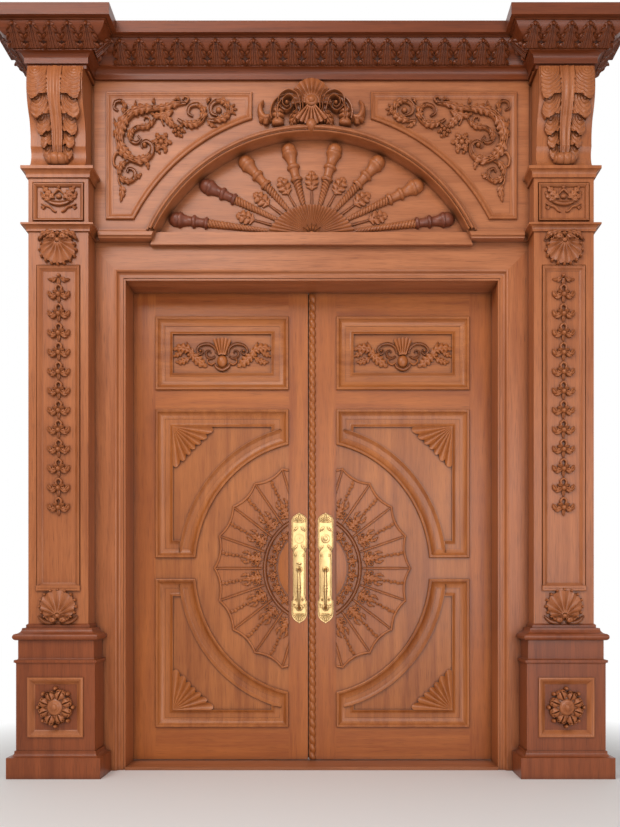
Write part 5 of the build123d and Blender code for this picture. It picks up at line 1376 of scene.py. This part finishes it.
def handles():
    trim = moved(plate_trim(), x=HANDLE_X, out=PLATE_FACE)
    pull = moved(brass_pull(), x=HANDLE_X, out=PLATE_FACE)
    rose = [knob("rose", HANDLE_X, ROSE_Z, 22, 22, 6, sharp=0.3),
            knob("rose_dome", HANDLE_X, ROSE_Z, 15, 15, 8.5, sharp=0.7)]
    blank = moved(joined("blank_rose", rose), out=PLATE_FACE)
    for hand, flip in (("right", False), ("left", True)):
        settle(copied(trim, "plate_trim_" + hand, flip=flip), brass, "leaf_" + hand, "brass")
        settle(copied(pull, "pull_" + hand, flip=flip), brass, "leaf_" + hand, "brass", "grip_" + hand)
    for thing in (trim, pull):
        bpy.data.objects.remove(thing)
    settle(blank, brass, "leaf_right", "brass")


handles()


GAP_STRIP_X = -20.7
GAP_STRIP_DEPTH = 237
GAP_STRIP_MIDDLE = 1.196
GAP_STRIP_SIZE = (4.6 * MM, 9 * MM, 2.352)


def gap_shade_strip():
    """Near-black strip in the gap between the leaves, held by the left one behind the way of the bolts:
    painted shade that keeps the gap dark.
    """
    deselect()
    bpy.ops.mesh.primitive_cube_add(size=1, location=(GAP_STRIP_X * MM, FACE + GAP_STRIP_DEPTH * MM, GAP_STRIP_MIDDLE))
    dark_strip = bpy.context.object
    dark_strip.name = "gap_shade_strip"
    dark_strip.scale = GAP_STRIP_SIZE
    bpy.ops.object.transform_apply(location=True, rotation=True, scale=True)
    finish_with(dark_strip, gap_shade_dark)
    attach(dark_strip, "leaf_left")


gap_shade_strip()


# ---------------------------------------------------------------- mitred mouldings and panels
BOLECTION = [(0, -9), (0, 9), (1.5, 12), (4.5, 13.5), (8, 13), (10, 11), (12.5, 11), (14, 9), (18, 4.5),
             (24, 0), (32, -3.4), (40, -5.2), (46, -5.8), (46.5, -9), (0, -9)]
INNER_FRAME = [(69, -9), (69, -7.2), (71, -6.6), (77, -2.6), (83, 1.8), (84.5, 3.2), (86.5, 3.2),
               (87.3, 2.4), (87.3, -9), (69, -9)]
SPANDREL_BAR = [(0, -1), (0, 8), (1.5, 11), (4.5, 13), (8.5, 12.4), (11, 9.6), (14, 9.4), (17, 7),
                (22, 3.6), (29, 1.8), (34, 1.4), (34, -1), (0, -1)]
PICTURE_RIM = [(-9, -1), (-9, 6), (-7, 9), (-3, 10.5), (1, 9.6), (3, 7.4), (5, 7), (10, 2.6), (16, -3.4),
               (21, -7.2), (24, -9), (24, -11), (-9, -11), (-9, -1)]
SHAFT_RIM = [(-4, -1), (-4, 3), (-2, 5), (1, 4.4), (3, 2.4), (6, 1.8), (11, -3), (16, -7), (20, -9),
             (20, -11), (-4, -11), (-4, -1)]
BLOCK_RIM = [(-3, -1), (-3, 3), (-1, 5.5), (2, 5.5), (4, 3), (7, 1), (10, -4), (13, -8), (13, -11),
             (-3, -11), (-3, -1)]
BURST_FRAME_X = 589
BURST_FRAME_Z = 634.5
LEAF_LEFT = 120
LEAF_RIGHT = 790
MIDDLE_RAIL_HALF = 53
SPANDREL_R = 950
SPANDREL_LEFT = 283
SPANDREL_RIGHT = 983
SPANDREL_LOW = 2640
SPANDREL_HIGH = 3249
SHAFT_LEDGE = [(-3, -1), (-3, 9), (0, 12), (9, 12), (11, 9), (11, -1), (-3, -1)]
PANEL_STEPS = 40
ARCH_STEPS = 36


def corner_outline(upper):
    """Panel of the right leaf between its edges and the great oval round the sunburst."""
    side = 1 if upper else -1
    far = 1780 if upper else 181
    flat = BURST_Z + MIDDLE_RAIL_HALF * side
    first = math.acos(LEAF_LEFT / BURST_FRAME_X)
    last = math.asin(MIDDLE_RAIL_HALF / BURST_FRAME_Z)
    points = [(LEAF_RIGHT, flat), (LEAF_RIGHT, far), (LEAF_LEFT, far)]
    for i in range(PANEL_STEPS + 1):
        angle = first + (last - first) * i / PANEL_STEPS
        points.append((BURST_FRAME_X * math.cos(angle), BURST_Z + side * BURST_FRAME_Z * math.sin(angle)))
    return points


def spandrel_outline():
    points = [(SPANDREL_RIGHT, SPANDREL_LOW), (SPANDREL_RIGHT, SPANDREL_HIGH),
              (SPANDREL_LEFT, SPANDREL_HIGH)]
    first = math.acos(SPANDREL_LEFT / SPANDREL_R)
    last = math.asin((SPANDREL_LOW - ARCH_Z) / SPANDREL_R)
    for i in range(ARCH_STEPS + 1):
        angle = first + (last - first) * i / ARCH_STEPS
        points.append((SPANDREL_R * math.cos(angle), ARCH_Z + SPANDREL_R * math.sin(angle)))
    return points


def framed_board(name, outline):
    """Sunk board of a leaf inside its two mouldings."""
    parts = [board("sunk_board", outline, -8, -30), moulding("bolection", outline, BOLECTION),
             moulding("inner_frame", outline, INNER_FRAME)]
    return moved(joined(name, parts), out=LEAF_FACE)


def leaf_panels():
    top = framed_board("upper_panel", box_outline(LEAF_LEFT, LEAF_RIGHT, 1878, 2247))
    high = framed_board("upper_corner", corner_outline(True))
    low = framed_board("lower_corner", corner_outline(False))
    corners = joined("corner_panels", [high, low])
    on_both_leaves(top, "upper_panel", "framed_", leaf_across, "leaf_wood", degrees=30)
    on_both_leaves(corners, "corner_panels", "framed_", leaf_panel, "leaf_wood", degrees=30)


def hidden_battens():
    """Strips behind the slit beside the frieze board, and boards on top of the consoles."""
    strip = board("batten", box_outline(1010, 1080, 2541, 3303), FRIEZE_FACE - 7, FRIEZE_FACE - 34)
    cap = board("console_cap", box_outline(1036, 1324, 3286.5, 3290), SHAFT_FACE - 1, -20)
    both = on_both_sides("frieze_battens", joined("battens_right", [strip, cap]))
    settle(both, frame_up, "frame", "frame_wood", degrees=30)


def framed(name, outline, section, out, *nodes):
    """Moulding round a panel of the right half, and its mirrored copy."""
    both = on_both_sides(name, moulding("rim", outline, section))
    return settle_on_frame(moved(both, out=out), *nodes, degrees=30)


def shaft_box(half, low, high):
    return box_outline(SHAFT_X - half, SHAFT_X + half, low, high)


def arch_bead(radius, wide, high):
    """Half-round bead on the arch moulding, from the sill up and over."""
    low = math.degrees(math.asin((SILL_TOP + 3 - ARCH_Z) / radius))
    points = []
    for i in range(61):
        turn = math.radians(low + (180 - 2 * low) * i / 60)
        points.append((radius * math.cos(turn), ARCH_Z + radius * math.sin(turn), wide, high))
    skin = front_of("archivolt", 0, ARCH_Z + radius) - 1
    return moved(strand("arch_bead", points, rounded, 6, 150, -2), out=skin)


def surround_mouldings():
    framed("spandrel_bars", spandrel_outline(), SPANDREL_BAR, FRIEZE_FACE, "spandrel_frames")
    framed("pedestal_rims", shaft_box(120.5, 195.5, 454.5), PICTURE_RIM, DIE_FACE)
    framed("block_rims", shaft_box(113, 2595, 2764), BLOCK_RIM, SHAFT_FACE)
    framed("shaft_rims", shaft_box(95, 882, 2378), SHAFT_RIM, SHAFT_FACE)
    framed("shaft_ledges", shaft_box(100, 866, 886), SHAFT_LEDGE, SHAFT_FACE)
    beads = [arch_bead(834, 5, 11), arch_bead(848, 6.5, 10), arch_bead(864, 6, 8)]
    settle_on_frame(joined("arch_beads", beads), degrees=30)


leaf_panels()
surround_mouldings()
hidden_battens()


# ---------------------------------------------------------------- light, floor and camera
FLOOR_EDGE = (1.6, 2.6)
AIR_LIGHT = 0.36


def studio_floor():
    """Pale floor that fades into white away from the door."""
    deselect()
    bpy.ops.mesh.primitive_plane_add(size=40, location=(0, 0, -0.0005))
    floor = bpy.context.object
    floor.name = "studio_floor"
    paint = bpy.data.materials.new("studio_floor")
    paint.use_nodes = True
    shader = paint.node_tree.nodes["Principled BSDF"]
    fill(shader, Base_Color=(0.86, 0.85, 0.84, 1), Roughness=0.7)
    ground = paint.node_tree
    place = node(ground, "ShaderNodeTexCoord").outputs["Object"]
    far = node(ground, "ShaderNodeVectorMath", operation="LENGTH")
    link(ground, place, far.inputs[0])
    edge = fill(node(ground, "ShaderNodeMapRange"), From_Min=FLOOR_EDGE[0], From_Max=FLOOR_EDGE[1])
    link(ground, far.outputs["Value"], edge.inputs["Value"])
    seen = node(ground, "ShaderNodeLightPath").outputs["Is Camera Ray"]
    away = math_node(ground, "MULTIPLY", edge.outputs[0], seen)
    white = node(ground, "ShaderNodeEmission")
    fade = node(ground, "ShaderNodeMixShader")
    link(ground, away, fade.inputs[0])
    link(ground, shader.outputs[0], fade.inputs[1])
    link(ground, white.outputs[0], fade.inputs[2])
    link(ground, fade.outputs[0], ground.nodes["Material Output"].inputs[0])
    finish_with(floor, paint)


def studio_air():
    """Soft light from all round; the camera sees white."""
    world = bpy.data.worlds.new("studio_air")
    bpy.context.scene.world = world
    world.use_nodes = True
    tree = world.node_tree
    tree.nodes.clear()
    paths = node(tree, "ShaderNodeLightPath")
    seen = math_node(tree, "MAXIMUM", paths.outputs["Is Camera Ray"], paths.outputs["Is Glossy Ray"])
    seen = math_node(tree, "MAXIMUM", seen, paths.outputs["Is Transmission Ray"])
    soft = fill(node(tree, "ShaderNodeBackground"), Color=(1.0, 0.985, 0.97, 1), Strength=AIR_LIGHT)
    white = fill(node(tree, "ShaderNodeBackground"), Color=(1, 1, 1, 1), Strength=1.0)
    blend = node(tree, "ShaderNodeMixShader")
    link(tree, seen, blend.inputs[0])
    link(tree, soft.outputs[0], blend.inputs[1])
    link(tree, white.outputs[0], blend.inputs[2])
    link(tree, blend.outputs[0], node(tree, "ShaderNodeOutputWorld").inputs[0])


def soft_lamp(name, place, aim, size, power, colour):
    data = bpy.data.lights.new(name, "AREA")
    data.shape = "RECTANGLE"
    data.size = size[0]
    data.size_y = size[1]
    data.energy = power
    data.color = colour
    lamp = bpy.data.objects.new(name, data)
    bpy.context.collection.objects.link(lamp)
    lamp.location = place
    lamp.rotation_euler = (Vector(aim) - Vector(place)).to_track_quat("-Z", "Y").to_euler()


def take_camera():
    data = bpy.data.cameras.new("photograph_view")
    data.sensor_width = 36
    data.lens = 37.1
    data.shift_x = -0.0242
    data.shift_y = 0.2255
    eye = bpy.data.objects.new("photograph_view", data)
    bpy.context.collection.objects.link(eye)
    eye.location = (0.0884, -4.109, 0.821)
    eye.rotation_euler = (math.radians(90), 0, 0)
    bpy.context.scene.camera = eye


studio_floor()
studio_air()
soft_lamp("key", (-1.7, -3.5, 4.5), (0, 0, 1.3), (3.0, 2.0), 122, (1.0, 0.97, 0.94))
soft_lamp("fill", (1.2, -5.2, 1.6), (0, 0, 1.3), (3.6, 2.4), 118, (0.97, 0.98, 1.0))
take_camera()
bpy.context.scene.view_settings.view_transform = "Standard"
